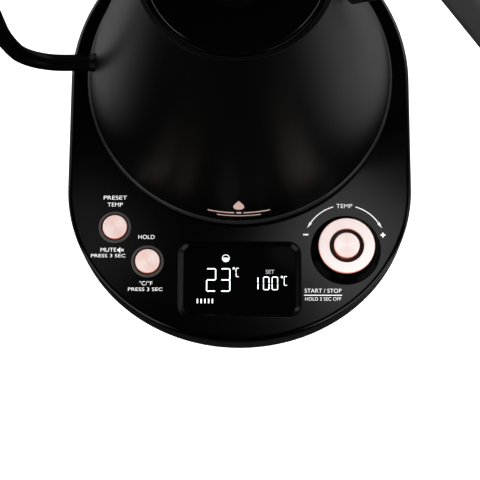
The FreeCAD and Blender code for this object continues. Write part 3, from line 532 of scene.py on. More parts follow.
def base_deck():
    """Deck and wall moulding: rounded upper edge, bevelled display recess, holes with eased edges."""
    mesh = bmesh.new()
    under = DECK - DECK_WALL
    lead = 0.35 * MM
    profile = [(lead, SPLIT), (0.0, SPLIT + lead)]
    for step in range(EDGE_STEPS + 1):
        angle = TAU / 4 * step / EDGE_STEPS
        inset = DECK_ROUND * (1 - math.cos(angle))
        profile.append((inset, DECK - DECK_ROUND + DECK_ROUND * math.sin(angle)))
    profile.append((DECK_ROUND + 0.6 * MM, DECK))
    outside = [add_loop(mesh, base_loop(inset, z)) for inset, z in profile]
    bridge_all(mesh, outside)
    inside = [add_loop(mesh, base_loop(DECK_WALL, z)) for z in (SPLIT, under)]
    bridge_all(mesh, inside)
    bridge(mesh, outside[0], inside[0])
    window = centre_of("display_window")
    tops, bottoms = [], []
    ease = 0.25 * MM
    for hole in deck_holes():
        rings = [hole(DECK, ease + 0.5 * MM), hole(DECK, ease), hole(DECK - ease * 0.3, ease * 0.3),
                 hole(DECK - ease, 0.0), hole(under, 0.0)]
        rings = [add_loop(mesh, ring) for ring in rings]
        bridge_all(mesh, rings)
        tops.append(rings[0])
        bottoms.append(rings[-1])
    sill = DECK - RECESS_DEPTH
    rows = [(RECESS, DECK, 1.0 * MM), (RECESS, DECK, 0.35 * MM), (RECESS, DECK - 0.05 * MM, 0.12 * MM),
            (RECESS, DECK - 0.14 * MM), (WINDOW, sill + 0.15 * MM, 0.18 * MM), (WINDOW, sill),
            (WINDOW, under)]
    recess = [add_loop(mesh, rounded_loop(window, *row)) for row in rows]
    bridge_all(mesh, recess)
    fill(mesh, outside[-1], recess[0], *tops)
    fill(mesh, inside[-1], recess[-1], *bottoms)
    deck = finish_piece(mesh, "base_deck", "base", "deck", ["base_top_cover"])
    deck.data.materials.append(RECESS_SATIN)
    for face in deck.data.polygons:
        off = face.center - window
        if abs(off.x) < RECESS[0] / 2 and abs(off.y) < RECESS[1] / 2 and face.center.z < DECK - 0.02 * MM:
            face.material_index = 1


def window_pane():
    """Smoked window with an eased edge, its flange under the deck."""
    mesh = bmesh.new()
    at = centre_of("display_window")
    top = DECK - RECESS_DEPTH
    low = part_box("display_window")[0].z
    under = DECK - DECK_WALL
    gap = -0.08 * MM
    flange = (WINDOW[0] + 6 * MM, WINDOW[1] + 6 * MM, WINDOW[2])
    rows = [(flange, low), (flange, under), (WINDOW, under, gap), (WINDOW, top - 0.15 * MM, gap),
            (WINDOW, top, gap - 0.15 * MM), (WINDOW, top, gap - 0.6 * MM)]
    rings = [add_loop(mesh, rounded_loop(at, *row)) for row in rows]
    bridge_all(mesh, rings)
    fill(mesh, rings[0])
    fill(mesh, rings[-1])
    finish_piece(mesh, "window_pane", "base", "window", ["display_window"])


def button_pieces(name, at):
    """Bezel and spun metal cap of one push button."""
    r_out, z0, z1 = turned_size(f"{name}_bezel")
    r_in = BUTTON_HOLE_R / MM
    ring = soften([(r_in, z0), (r_out, z0), (r_out, z1 - 0.25, 0.2), (r_out - 0.45, z1, 0.4),
                   (r_in + 0.4, z1, 0.1), (r_in, z1 - 0.7, 0.1)])
    bezel = lathe(f"{name}_bezel_ring", ring, "base", "bezel", [f"{name}_bezel"], at, 128)
    # The bezel's inner lip takes the black gloss: painted shade in the gap around the cap
    second_material(bezel, MATERIALS["knob_black"], (r_in + 0.38) * MM, z0 * MM)
    lip_r, bottom, top = turned_size(f"{name}_button")
    cap_r = r_in - 0.35
    lip_top = (DECK - DECK_WALL) / MM - 0.3
    cap = soften([(0, bottom), (2.0, bottom, 0.3), (2.0, lip_top - 1.1, 0.3), (lip_r, lip_top - 1.1, 0.2),
                  (lip_r, lip_top, 0.2), (cap_r, lip_top, 0.1), (cap_r, top, 0.35),
                  (cap_r - 1.2, top, 0.3), (2.2, top - 0.1, 2.0), (0, top - 0.12)], closed=False)
    lathe(f"{name}_cap", cap, f"{name}_cap", "rose_metal", [f"{name}_button"], at, 128)


# Radius of the opening in the knob's top, in millimetres
KNOB_BORE = 8.2


def knob_pieces():
    """Flared gloss skirt, spun ring and the start button in the middle."""
    r0, z0, z1 = turned_size("knob_skirt")
    skirt = soften([
        (3.0, z0 + 3.6), (6.5, z0 + 3.6, 0.2), (6.5, z1 - 0.75, 0.15), (KNOB_BORE - 0.05, z1 - 0.7, 0.1),
        (KNOB_BORE, z1), (13.45, z1, 0.1), (13.6, z0 + 5.2, 3.0), (14.4, z0 + 2.8, 3.0),
        (r0 - 0.6, z0 + 0.95, 1.2), (r0, z0 + 0.25, 0.25), (r0 - 0.2, z0, 0.1), (r0 - 1.8, z0),
        (r0 - 1.8, z0 + 0.4), (11.6, z0 + 1.4), (3.0, z0 + 1.4)])
    body = lathe("knob_body", skirt, "knob", "knob_black", ["knob_skirt"], KNOB)
    second_material(body, GAP_SATIN, (KNOB_BORE + 0.1) * MM, (z1 - 1.0) * MM)
    r_out, z0, z1 = turned_size("knob_ring")
    ring = soften([(KNOB_BORE, z0), (r_out, z0), (r_out, z1, 0.35), (r_out - 1.4, z1, 0.4),
                   (KNOB_BORE + 1.0, z1 - 0.06, 1.0), (KNOB_BORE, z1 - 0.06, 0.3)])
    lathe("knob_spun_ring", ring, "knob", "rose_metal", ["knob_ring"], KNOB, material=RING_METAL)
    radius, z0, z1 = turned_size("start_button")
    cap = soften([(0, z0), (radius, z0, 0.2), (radius, z1, 0.45), (radius - 1.3, z1, 0.4),
                  (2.0, z1 - 0.1, 2.0), (0, z1 - 0.12)], closed=False)
    lathe("start_cap_disc", cap, "start_cap", "rose_metal", ["start_button"], KNOB, 128, START_METAL)


# ---- legends and display

# A capital's height as a share of the font's size, half a letter's thickness, and that of other prints
CAPITAL_SHARE = 0.69
LETTER_HALF = 0.02 * MM
PRINT_LIFT = 0.03 * MM
# Lit figures: character, lower left corner from the window's centre, width, height and stroke, in mm
FIGURES = [
    ("2", -15.75, -5.52, 4.3, 11.0, 0.52), ("3", -8.9, -5.52, 4.3, 11.0, 0.52),
    ("1", 6.3, -4.77, 2.65, 6.2, 0.4), ("0", 11.6, -4.77, 2.65, 6.2, 0.4),
    ("0", 15.75, -4.77, 2.65, 6.2, 0.4), ("C", -1.63, 1.59, 1.4, 4.2, 0.28),
    ("C", 21.54, -2.63, 1.5, 4.3, 0.28),
]
DEGREE_RINGS = [(-2.77, 5.63), (20.45, 1.45)]
DEGREE_R = 0.42 * MM
FINE_STROKE = 0.22 * MM
# Other signs on the window, placed from its centre in millimetres
SCALE_BARS = 5
SCALE_AT = (-20.1, -10.37)
SCALE_PITCH = 1.8
SCALE_BAR = (0.55 * MM, 2.15 * MM)
CUP_AT = (-6.6, 10.66)
CUP_R = 1.7 * MM
TEA_R = 1.25 * MM
TEA_ANGLES = (170, 371, 8)
SET_AT = (14.7, 3.9)
# Heights of the deck's letters, and how much thinner their strokes are drawn
CAPITAL = 1.95 * MM
SMALL_CAPITAL = 1.65 * MM
THINNER = -0.02 * MM
# Printed words: name, text, the control they stand by, place from its centre, height, width in mm
LEGENDS = [
    ("legend_preset", "PRESET", "custom", -0.3, 14.9, CAPITAL, 11.3),
    ("legend_preset_temp", "TEMP", "custom", -0.2, 11.4, CAPITAL, 7.4),
    ("legend_mute", "MUTE", "custom", -3.0, -11.2, CAPITAL, 7.6),
    ("legend_mute_time", "PRESS 3 SEC", "custom", -3.0, -14.1, SMALL_CAPITAL, 16.6),
    ("legend_hold", "HOLD", "hold", -0.8, 12.1, CAPITAL, 7.9),
    ("legend_unit", "°C/°F", "hold", -0.7, -10.8, CAPITAL, 6.3),
    ("legend_unit_time", "PRESS 3 SEC", "hold", -0.9, -13.7, SMALL_CAPITAL, 16.6),
    ("legend_temp", "TEMP", "knob", -0.4, 21.9, CAPITAL * 1.05, 7.7),
    ("legend_start", "START / STOP", "knob", -11.1, -20.1, CAPITAL, 17.6),
    ("legend_off", "HOLD 3 SEC OFF", "knob", -11.1, -24.1, SMALL_CAPITAL, 17.2),
]
# Bars of the fraction line, minus and plus: place from the knob's centre, width and height, in mm
SIGN_BARS = [(-11.1, -22.2, 18.2, 0.4), (-19.2, 7.7, 2.5, 0.75), (18.1, 7.5, 2.4, 0.75),
             (18.1, 6.71, 0.75, 0.82), (18.1, 8.29, 0.75, 0.82)]
# Arcs over the knob: radius, stroke, and their outer ends in degrees
ARC_R = 19.7 * MM
ARC_STROKE = 0.48 * MM
ARC_ENDS = (33.6, 146.4)


def flat_shape(name, outlines, z, slot, material):
    """Thin raised print on the base: each outline is a closed list of (x, y) points."""
    mesh = bmesh.new()
    for outline in outlines:
        upper = add_loop(mesh, [Vector((x, y, z + PRINT_LIFT)) for x, y in outline])
        lower = add_loop(mesh, [Vector((x, y, z)) for x, y in outline])
        bridge(mesh, lower, upper)
        mesh.faces.new(upper)
        mesh.faces.new(lower)
    finish_piece(mesh, name, "base", slot, (), material)


def lettering(name, text, at, height, z, material=LEGEND_WHITE, bold=0.0, width=None):
    """Printed word on the base, centred on a point, of a given capital height and, if asked, width."""
    curve = bpy.data.curves.new(name, "FONT")
    curve.body = text
    curve.align_x = "CENTER"
    curve.align_y = "CENTER"
    curve.size = height / CAPITAL_SHARE
    curve.offset = bold
    curve.extrude = LETTER_HALF
    source = add_object(name + "_source", curve)
    bpy.context.view_layer.update()
    data = bpy.data.meshes.new_from_object(source)
    bpy.data.objects.remove(source)
    if width:
        across = [vert.co.x for vert in data.vertices]
        data.transform(Matrix.Diagonal((width / (max(across) - min(across)), 1, 1, 1)))
    data.transform(Matrix.Translation(Vector((at[0], at[1], z + LETTER_HALF))))
    data.name = name
    data.materials.clear()
    data.materials.append(material)
    piece = add_object(name, data)
    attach(piece, "base")


def bar(x, y, width, height):
    half_w, half_h = width / 2, height / 2
    return [(x - half_w, y - half_h), (x + half_w, y - half_h), (x + half_w, y + half_h),
            (x - half_w, y + half_h)]


def arc_band(centre, radius, width, start, end, steps=40):
    """Curved stroke about a centre, between two angles in degrees."""
    outer, inner = [], []
    for step in range(steps + 1):
        angle = math.radians(start + (end - start) * step / steps)
        for line, reach in ((outer, radius + width / 2), (inner, radius - width / 2)):
            line.append((centre[0] + reach * math.cos(angle), centre[1] + reach * math.sin(angle)))
    return outer + inner[::-1]


def arrow_head(centre, radius, angle, direction, length, width):
    """Small triangle at the end of an arc, pointing along it."""
    turn = math.radians(angle)
    ray = Vector((math.cos(turn), math.sin(turn)))
    along = Vector((-ray.y, ray.x)) * direction
    base = Vector(centre) + ray * radius
    tip = base + along * length
    return [tuple(base - ray * width / 2), tuple(base + ray * width / 2), tuple(tip)]


SEGMENTS = {"0": "abcdef", "1": "bc", "2": "abged", "3": "abgcd", "C": "afed"}


def digit(character, x, y, width, height, stroke):
    """Seven-segment figure with its lower left corner at x, y, drawn with mitred bars."""
    half = height / 2
    gap = stroke * 0.22
    cut = stroke * 0.5
    lines = {
        "a": ((0, height), (width, height)), "g": ((0, half), (width, half)), "d": ((0, 0), (width, 0)),
        "f": ((0, half), (0, height)), "b": ((width, half), (width, height)),
        "e": ((0, 0), (0, half)), "c": ((width, 0), (width, half)),
    }
    outlines = []
    for letter in SEGMENTS[character]:
        (x0, y0), (x1, y1) = lines[letter]
        start, end = Vector((x + x0, y + y0)), Vector((x + x1, y + y1))
        along = (end - start).normalized()
        side = Vector((-along.y, along.x)) * stroke / 2
        first, last = start + along * gap, end - along * gap
        corners = [first, first + along * cut - side, last - along * cut - side, last,
                   last - along * cut + side, first + along * cut + side]
        outlines.append([tuple(corner) for corner in corners])
    return outlines


def arc_ring(centre, radius, width, steps=24):
    """Full thin ring as two half bands, so that each outline stays simple."""
    return [arc_band(centre, radius, width, 0, 180, steps), arc_band(centre, radius, width, 180, 360, steps)]


def display_figures():
    """Lit figures on the window: present and set temperature, cup symbol and a five-bar scale."""
    at = centre_of("display_window")
    z = DECK - RECESS_DEPTH

    def spot(x, y):
        return at.x + x * MM, at.y + y * MM

    shapes = []
    for character, x, y, width, height, stroke in FIGURES:
        shapes += digit(character, *spot(x, y), width * MM, height * MM, stroke * MM)
    for x, y in DEGREE_RINGS:
        shapes += arc_ring(spot(x, y), DEGREE_R, FINE_STROKE, 12)
    flat_shape("display_digits", shapes, z, "window", SEGMENT_WHITE)
    scale = [bar(*spot(SCALE_AT[0] + n * SCALE_PITCH, SCALE_AT[1]), *SCALE_BAR) for n in range(SCALE_BARS)]
    flat_shape("display_scale", scale, z, "window", SEGMENT_WHITE)
    cup = spot(*CUP_AT)
    turns = [math.radians(degrees) for degrees in range(*TEA_ANGLES)]
    tea = [(cup[0] + TEA_R * math.cos(turn), cup[1] + TEA_R * math.sin(turn)) for turn in turns]
    flat_shape("display_cup", [*arc_ring(cup, CUP_R, FINE_STROKE), tea], z, "window", SEGMENT_WHITE)
    lettering("display_set", "SET", spot(*SET_AT), 1.9 * MM, z, material=SEGMENT_DIM)


def speaker_mark(x, y, size):
    """Crossed-out speaker, the usual sign for a muted sound."""
    body = [(x, y - 0.18 * size), (x + 0.2 * size, y - 0.18 * size), (x + 0.48 * size, y - 0.5 * size),
            (x + 0.48 * size, y + 0.5 * size), (x + 0.2 * size, y + 0.18 * size), (x, y + 0.18 * size)]
    cross = []
    for lean in (-1, 1):
        a = Vector((x + 0.62 * size, y - 0.22 * size * lean))
        b = Vector((x + 1.05 * size, y + 0.22 * size * lean))
        side = (b - a).normalized()
        side = Vector((-side.y, side.x)) * 0.05 * size
        cross.append([tuple(a - side), tuple(b - side), tuple(b + side), tuple(a + side)])
    return [body, *cross]


def panel_legends():
    """Generic white function signs around the buttons and the knob."""
    controls = {**button_centres(), "knob": KNOB}
    for name, text, control, across, up, height, width in LEGENDS:
        at = controls[control]
        spot = (at.x + across * MM, at.y + up * MM)
        lettering(name, text, spot, height, DECK, bold=THINNER, width=width * MM)
    custom = controls["custom"]
    marks = speaker_mark(custom.x + 1.4 * MM, custom.y - 11.2 * MM, 2.9 * MM)
    for x, y, width, height in SIGN_BARS:
        marks.append(bar(KNOB.x + x * MM, KNOB.y + y * MM, width * MM, height * MM))
    flat_shape("legend_signs", marks, DECK, "deck", LEGEND_WHITE)
    around = (KNOB.x - 0.4 * MM, KNOB.y + 2.6 * MM)
    right, left = ARC_ENDS
    arcs = [arc_band(around, ARC_R, ARC_STROKE, *span) for span in ((right, 74.1), (105.9, left))]
    for end, direction in ((right, -1), (left, 1)):
        arcs.append(arrow_head(around, ARC_R, end, direction, 3.0 * MM, 1.4 * MM))
    flat_shape("legend_arcs", arcs, DECK, "deck", LEGEND_WHITE)


# ---- kettle

BODY_LOW, BODY_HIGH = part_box("body_shell")
BODY_R_TOP = 41.6 * MM
BODY_R_LOW = (BODY_HIGH.x - BODY_LOW.x) / 2
BODY_WALL = 1.03 * MM


def cone_r(z):
    share = (z - BODY_LOW.z) / (BODY_HIGH.z - BODY_LOW.z)
    return BODY_R_LOW + share * (BODY_R_TOP - BODY_R_LOW)


def body_pieces():
    """Conical shell with a rolled lip, the rolled bottom edge and the neck ring."""
    z0, z1 = BODY_LOW.z / MM, BODY_HIGH.z / MM
    low, high, wall = BODY_R_LOW / MM, BODY_R_TOP / MM, BODY_WALL / MM
    shell = soften([(low - wall, z0), (low, z0), (high, z1, 0.5), (high - wall, z1, 0.4)])
    lathe("body_cone", shell, "kettle", "body_paint", ["body_shell"], steps=256)
    r, z2, _ = turned_size("foot_ring")
    hip, top = cone_r((z0 + 1.9) * MM) / MM, cone_r((z0 + 2.5) * MM) / MM
    roll = soften([(r - 1.9, z2, 0.2), (r - 0.5, z2, 0.5), (r, z2 + 0.7, 0.8), (r - 0.1, z0 + 0.4, 0.9),
                   (hip + 0.35, z0 + 1.9, 0.9), (top - 0.2, z0 + 2.5), (low - 0.5, z0 - 0.02),
                   (low - wall, z0 - 0.02)])
    # Rolled bottom edge in the lighter grey: a painted highlight
    lathe("foot_roll", roll, "kettle", "body_paint", ["foot_ring"], steps=256, material=FOOT_HIGHLIGHT_GREY)
    _, za, zb = turned_size("mouth_ring")
    neck = soften([(38.4, za), (40.5, za), (40.5, zb - 2.5), (high - wall + 0.45, zb - 2.0),
                   (high - wall, zb, 0.2), (40.0, zb, 0.25), (39.7, zb - 0.3, 0.25), (39.7, za + 2.0),
                   (38.4, za + 2.0, 0.3)])
    lathe("neck_ring", neck, "kettle", "body_paint", ["mouth_ring"])


# Steam vents: their places around the lid in degrees, on a circle of this radius in millimetres
VENT_ANGLES = (60.0, 90.0, 120.0)
VENT_CIRCLE = 22.0


def lid_pieces():
    """Gloss lid with a raised border, steam vents, and its pull knob."""
    mesh = bmesh.new()
    _, z0, z1 = turned_size("lid_cap")
    edge = soften([(36.0, z0), (39.3, z0, 0.3), (39.3, z1 - 0.35, 0.35), (38.95, z1, 0.3), (37.6, z1, 0.2),
                   (37.2, z1 - 0.3, 0.2), (35.0, z1 - 0.3)], closed=False)
    rings = [add_loop(mesh, circle_loop(AXIS, radius, z, RING_STEPS)) for radius, z in edge]
    bridge_all(mesh, rings)
    tops, bottoms = [], []
    for angle in VENT_ANGLES:
        turn = math.radians(angle)
        at = AXIS + Vector((math.cos(turn), math.sin(turn), 0)) * VENT_CIRCLE * MM
        sizes = [(1.75, z1 - 0.3), (1.45, z1 - 0.3), (1.2, z1 - 0.5), (1.2, z0)]
        hole = [add_loop(mesh, circle_loop(at, r * MM, z * MM, 40)) for r, z in sizes]
        bridge_all(mesh, hole)
        tops.append(hole[0])
        bottoms.append(hole[-1])
    fill(mesh, rings[-1], *tops)
    fill(mesh, rings[0], *bottoms)
    finish_piece(mesh, "lid_disc", "lid", "lid_gloss", ["lid_cap"])
    _, k0, k1 = turned_size("lid_knob")
    knob = soften([
        (0, k0), (8.0, k0, 0.3), (7.7, k0 + 1.1, 0.6), (5.7, k0 + 3.6, 4.0), (5.4, k0 + 7.5, 6.0),
        (7.2, k0 + 11.4, 6.0), (11.1, k0 + 13.6, 2.0), (11.5, k0 + 15.2, 1.2), (11.4, k1 - 1.6, 1.2),
        (10.0, k1 - 0.1, 1.6), (8.4, k1 - 0.05, 0.3), (8.1, k1 - 0.35, 0.15), (7.8, k1 - 0.05, 0.15),
        (3.0, k1, 3.0), (0, k1)], closed=False)
    lathe("lid_pull", knob, "lid", "grip", ["lid_knob"])


SPOUT_START = (-68.5 * MM, 46.7 * MM)
SPOUT_ROUTE = [16.5 * MM, (21.0 * MM, -76.5), (116.0 * MM, -13.5), 19.5 * MM, (70.0 * MM, 25.0),
               (26.0 * MM, 80.0), 4.0 * MM]
SPOUT_R = 4.05 * MM
SPOUT_BORE = 3.45 * MM
# Weld at the spout's root: how much wider than the tube it is at each distance from its tip, in millimetres
WELD_FLARE = [(0.0, 0.02), (0.3, 0.06), (0.8, 0.16), (1.4, 0.32), (2.2, 0.6), (3.4, 0.82)]


def spout_pieces():
    """Bent tube with a real bore and a rounded lip, and the weld collar at its root."""
    path = route_points(SPOUT_START, 180.0, SPOUT_ROUTE)
    mesh = bmesh.new()
    rings = [add_loop(mesh, section_ring(point, round_section(SPOUT_R))) for point in path[:-1]]
    x, z, heading = path[-1]
    lip = (SPOUT_R - SPOUT_BORE) / 2
    middle = SPOUT_R - lip
    turn = math.radians(heading)
    for step in range(EDGE_STEPS + 1):
        angle = math.pi * step / EDGE_STEPS
        back = lip * (1 - math.sin(angle))
        point = (x - back * math.cos(turn), z - back * math.sin(turn), heading)
        rings.append(add_loop(mesh, section_ring(point, round_section(middle + lip * math.cos(angle)))))
    for point in path[-2::-1]:
        rings.append(add_loop(mesh, section_ring(point, round_section(SPOUT_BORE))))
    bridge_all(mesh, rings, closed=True)
    finish_piece(mesh, "spout_neck", "kettle", "body_paint", ["spout_tube"], SPOUT_PAINT)
    low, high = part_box("spout_collar")
    tip = low.x - AXIS.x
    outer = (high.z - low.z) / 2
    sizes = [(along, min(SPOUT_R + grow * MM, outer)) for along, grow in WELD_FLARE]
    sizes += [(along, SPOUT_R - 0.02 * MM) for along in (WELD_FLARE[-1][0], WELD_FLARE[0][0])]
    mesh = bmesh.new()
    rings = []
    for along, radius in sizes:
        point = (tip + along * MM, SPOUT_START[1], 180.0)
        rings.append(add_loop(mesh, section_ring(point, round_section(radius))))
    bridge_all(mesh, rings, closed=True)
    finish_piece(mesh, "spout_weld", "kettle", "body_paint", ["spout_collar"], SPOUT_PAINT)


HANDLE_START = (46.1 * MM, 147.0 * MM)
HANDLE_HEADING = 25.0
ARM_RUN = 22.4 * MM
HANDLE_TURN = (20.0 * MM, -91.5)
GRIP_RUN = 83.2 * MM
CAP_RUN = 6.0 * MM
GRIP_SECTION = (20.0 * MM, 22.0 * MM, 8.0 * MM)


def grip_section(shrink):
    loop = rounded_loop(Vector((0, 0)), GRIP_SECTION, 0.0, -shrink, steps=9)
    return [(point.x, point.y) for point in loop]


def swept_piece(name, path, shrinks, slot, replaces, material=None):
    """Sweeps the grip's section along path points, drawn in by a distance at each, and closes both ends."""
    mesh = bmesh.new()
    rings = [add_loop(mesh, section_ring(point, grip_section(s))) for point, s in zip(path, shrinks)]
    bridge_all(mesh, rings)
    for ring in (rings[0], rings[-1]):
        mesh.faces.new(ring)
    finish_piece(mesh, name, "kettle", slot, replaces, material)


def eased_ends(path, start_ease, end_ease, rows=5):
    """Adds points close to each end of a path, so that its edges can be rounded off there."""
    def shifted(point, distance):
        x, z, heading = point
        turn = math.radians(heading)
        return (x + distance * math.cos(turn), z + distance * math.sin(turn), heading)

    points, shrinks = [], []
    for row in range(rows + 1):
        angle = TAU / 4 * row / rows
        points.append(shifted(path[0], start_ease * (1 - math.cos(angle))))
        shrinks.append(start_ease * (1 - math.sin(angle)))
    points += path[1:-1]
    shrinks += [0.0] * (len(path) - 2)
    for row in range(rows + 1):
        angle = TAU / 4 * row / rows
        points.append(shifted(path[-1], -end_ease * (1 - math.sin(angle))))
        shrinks.append(end_ease * (1 - math.cos(angle)))
    return points, shrinks


def handle_pieces():
    """Arm, grip and end cap, each with eased edges so that the parting lines show."""
    arm = route_points(HANDLE_START, HANDLE_HEADING, [ARM_RUN])
    swept_piece("arm_cover", *eased_ends(arm, 0.3 * MM, 0.45 * MM), "grip", ["handle_arm"], ARM_SATIN)
    joint = arm[-1]
    grip = route_points(joint[:2], HANDLE_HEADING, [HANDLE_TURN, GRIP_RUN])
    swept_piece("grip_cover", *eased_ends(grip, 0.45 * MM, 0.4 * MM), "grip", ["handle_grip"])
    end = grip[-1]
    cap = route_points(end[:2], end[2], [CAP_RUN], run_step=0.5 * MM)
    ends = eased_ends(cap[:1] + cap[3:4] + cap[-1:], 0.4 * MM, 3.5 * MM, 8)
    swept_piece("grip_end", *ends, "grip", ["handle_cap"])


# Emblem on the body, unrolled, in millimetres: its drop, then each bar's ends, height and stroke
DROP_AT = 44.6
DROP_SIZE = (3.6, 4.2)
DROP_STEPS = 48
EMBLEM_BARS = [(-15.0, -2.2, 37.4, 0.9), (2.2, 15.0, 37.4, 0.9), (-1.1, 1.1, 37.4, 1.5),
               (-10.5, 10.5, 34.6, 0.75)]
EMBLEM_LIFTS = (-0.02 * MM, 0.04 * MM)


def body_emblem():
    """Generic rose-coloured drop over plain bars, printed low on the front of the body."""
    drop = []
    for step in range(DROP_STEPS):
        angle = TAU * step / DROP_STEPS
        width = DROP_SIZE[0] * math.sin(angle) * (math.sin(angle / 2) ** 1.4)
        drop.append((width, DROP_AT + DROP_SIZE[1] * math.cos(angle)))
    outlines = [drop]
    for x0, x1, up, stroke in EMBLEM_BARS:
        steps = 12
        across = [x0 + (x1 - x0) * n / steps for n in range(steps + 1)]
        lower, upper = up - stroke / 2, up + stroke / 2
        outlines.append([(x, lower) for x in across] + [(x, upper) for x in across[::-1]])
    mesh = bmesh.new()
    for outline in outlines:
        rings = []
        for lift in EMBLEM_LIFTS:
            points = []
            for across, up in outline:
                z = up * MM
                radius = cone_r(z) + lift
                turn = across * MM / cone_r(z) - TAU / 4
                points.append((AXIS.x + radius * math.cos(turn), AXIS.y + radius * math.sin(turn), z))
            rings.append(add_loop(mesh, points))
        bridge(mesh, *rings)
        for ring in rings:
            mesh.faces.new(ring)
    bmesh.ops.triangulate(mesh, faces=[face for face in mesh.faces if len(face.verts) > 4])
    finish_piece(mesh, "body_drop_mark", "kettle", "rose_metal", (), ROSE_INK)


# ---- CAD nodes that stay

def dress_cad_nodes():
    """Gives every CAD node that still shows the material of its slot."""
    slots = {row["node"]: row["material_slot"] for row in frame["record"]["subparts"]}
    for node, piece in frame["nodes"].items():
        piece.data.materials.clear()
        piece.data.materials.append(MATERIALS[slots[node]])


# ---- stage, light and camera

FLOOR_GLOW = 0.8
ROOM_GLOW = 2.0
# Ramps of what gloss reflects, as (low, high, from, to): the walls by side, height, lean, depth and hand,
# then the table by height and hand
WALL_SIDE = (0.0, 1.0, 0.25, 0.5)
WALL_HEIGHT = (1.0, 0.0, -0.1, 0.25)
WALL_LEAN = (-0.27, 0.08, -0.3, 0.3)
WALL_DEPTH = (0.0, 1.0, -0.45, 0.0)
WALL_HAND = (0.86, 0.76, -0.5, 0.5)
TABLE_HEIGHT = (0.03, 0.0, -0.96, -0.9)
TABLE_HAND = (0.6, 1.0, -0.2, 0.2)
# Area lights: name, place from the kettle's axis and size in metres, watts
LIGHTS = [
    ("top_main", (0.105, 0.132, 0.9), (0.13, 0.12), 0.066),
    ("top_front", (0.135, 0.035, 0.9), (0.10, 0.12), 0.027),
    ("top_left", (-0.180, 0.120, 0.9), (0.12, 0.10), 0.012),
    ("bevel_light", (0.41, 0.0, 0.24), (0.1, 0.1), 0.042),
    ("front_right", (0.75, -0.65, 0.35), (0.8, 0.8), 2.3),
    ("front_left", (-0.75, -0.6, 0.35), (0.8, 0.8), 2.0),
    ("rear_right", (0.7, 0.8, 0.5), (0.9, 0.9), 3.8),
    ("rear_left", (-0.8, 0.7, 0.45), (0.9, 0.9), 3.4),
]
# Where the lights aim: offset in y from the kettle's axis, and height
LIGHT_AIM = (-0.04, 0.06)


def stage_floor():
    """Pale seamless floor, bright enough to read as white, left out of the gloss reflections."""
    mesh = bmesh.new()
    bmesh.ops.create_grid(mesh, x_segments=1, y_segments=1, size=6.0)
    data = bpy.data.meshes.new("floor")
    mesh.to_mesh(data)
    mesh.free()
    floor = add_object("floor", data)
    material, nodes, shader, coords = new_material("pale_floor")
    cloud = nodes.noise(coords, 3.0, 2.0)
    pale = nodes.mix(cloud, (0.84, 0.84, 0.84), (0.86, 0.86, 0.86))
    nodes.set(shader, Base_Color=pale, Roughness=0.9, Emission_Color=(1, 1, 1, 1),
              Emission_Strength=FLOOR_GLOW)
    data.materials.append(material)
    floor.visible_glossy = False


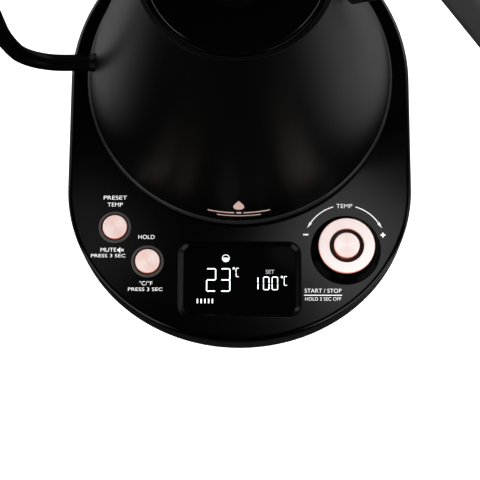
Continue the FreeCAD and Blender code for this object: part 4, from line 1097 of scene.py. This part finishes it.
def studio_world():
    """White backdrop for the camera, an even room for diffuse light, dark gloss with bright low sides."""
    world = bpy.data.worlds.new("studio")
    bpy.context.scene.world = world
    world.use_nodes = True
    nodes = Nodes(world.node_tree)
    x, y, z = nodes.split(nodes.add("ShaderNodeTexCoord").outputs["Generated"])
    sides = nodes.remap(nodes.math("ABSOLUTE", x), *WALL_SIDE, smooth=True)
    low = nodes.remap(z, *WALL_HEIGHT, smooth=True)
    forward = nodes.math("ADD", y, nodes.remap(x, *WALL_LEAN))
    back = nodes.remap(forward, *WALL_DEPTH, smooth=True)
    walls = nodes.math("MULTIPLY", nodes.math("MULTIPLY", sides, low), back)
    walls = nodes.math("MULTIPLY", walls, nodes.remap(x, *WALL_HAND))
    table = nodes.remap(z, *TABLE_HEIGHT, smooth=True)
    table = nodes.math("MULTIPLY", table, nodes.remap(x, *TABLE_HAND))
    backdrop, room, gloss = (nodes.add("ShaderNodeBackground") for _ in range(3))
    nodes.set(backdrop, Color=(1.0, 1.0, 1.0, 1.0))
    nodes.set(room, Strength=ROOM_GLOW)
    nodes.set(gloss, Strength=nodes.math("MAXIMUM", walls, table))
    rays = nodes.add("ShaderNodeLightPath").outputs
    lit = nodes.mix_shader(rays["Is Diffuse Ray"], gloss.outputs[0], room.outputs[0])
    seen = nodes.mix_shader(rays["Is Camera Ray"], lit, backdrop.outputs[0])
    output = nodes.add("ShaderNodeOutputWorld")
    nodes.link(seen, output.inputs[0])


def soft_light(name, from_axis, size, watts):
    """Rectangular area light placed from the kettle's axis and turned towards the base."""
    place = Vector((AXIS.x, AXIS.y, 0)) + Vector(from_axis)
    aim = Vector((AXIS.x, AXIS.y + LIGHT_AIM[0], LIGHT_AIM[1]))
    light = bpy.data.lights.new(name, "AREA")
    light.shape = "RECTANGLE"
    light.size, light.size_y = size
    light.energy = watts
    lamp = add_object(name, light)
    lamp.location = place
    lamp.rotation_euler = (aim - place).to_track_quat("-Z", "Y").to_euler()
    lamp.visible_camera = False


CAMERA_PITCH = math.radians(76.32)
CAMERA_YAW = math.radians(-3.02)
CAMERA_ROLL = math.radians(2.86)
CAMERA_FROM_AXIS = Vector((9.46, -253.60, 728.61)) * MM
CAMERA_LENS = 112.5


def camera():
    """Camera above and in front of the kettle, looking steeply down at the base."""
    pitch, yaw, roll = CAMERA_PITCH, CAMERA_YAW, CAMERA_ROLL
    forward = Vector((math.sin(yaw) * math.cos(pitch), math.cos(yaw) * math.cos(pitch), -math.sin(pitch)))
    right = Vector((math.cos(yaw), -math.sin(yaw), 0))
    down = forward.cross(right)
    across = right * math.cos(roll) + down * math.sin(roll)
    up = right * math.sin(roll) - down * math.cos(roll)
    data = bpy.data.cameras.new("camera")
    data.lens = CAMERA_LENS
    data.sensor_width = 36.0
    data.clip_start = 0.01
    eye = add_object("camera", data)
    turn = Matrix((across, up, -forward)).transposed().to_4x4()
    turn.translation = Vector((AXIS.x, AXIS.y, 0)) + CAMERA_FROM_AXIS
    eye.matrix_world = turn
    bpy.context.scene.camera = eye


def build():
    base_deck()
    window_pane()
    for name, at in button_centres().items():
        button_pieces(name, at)
    knob_pieces()
    display_figures()
    panel_legends()
    body_pieces()
    lid_pieces()
    spout_pieces()
    handle_pieces()
    body_emblem()
    dress_cad_nodes()
    stage_floor()
    studio_world()
    for light in LIGHTS:
        soft_light(*light)
    camera()
    bpy.context.scene.view_settings.view_transform = "Standard"


build()
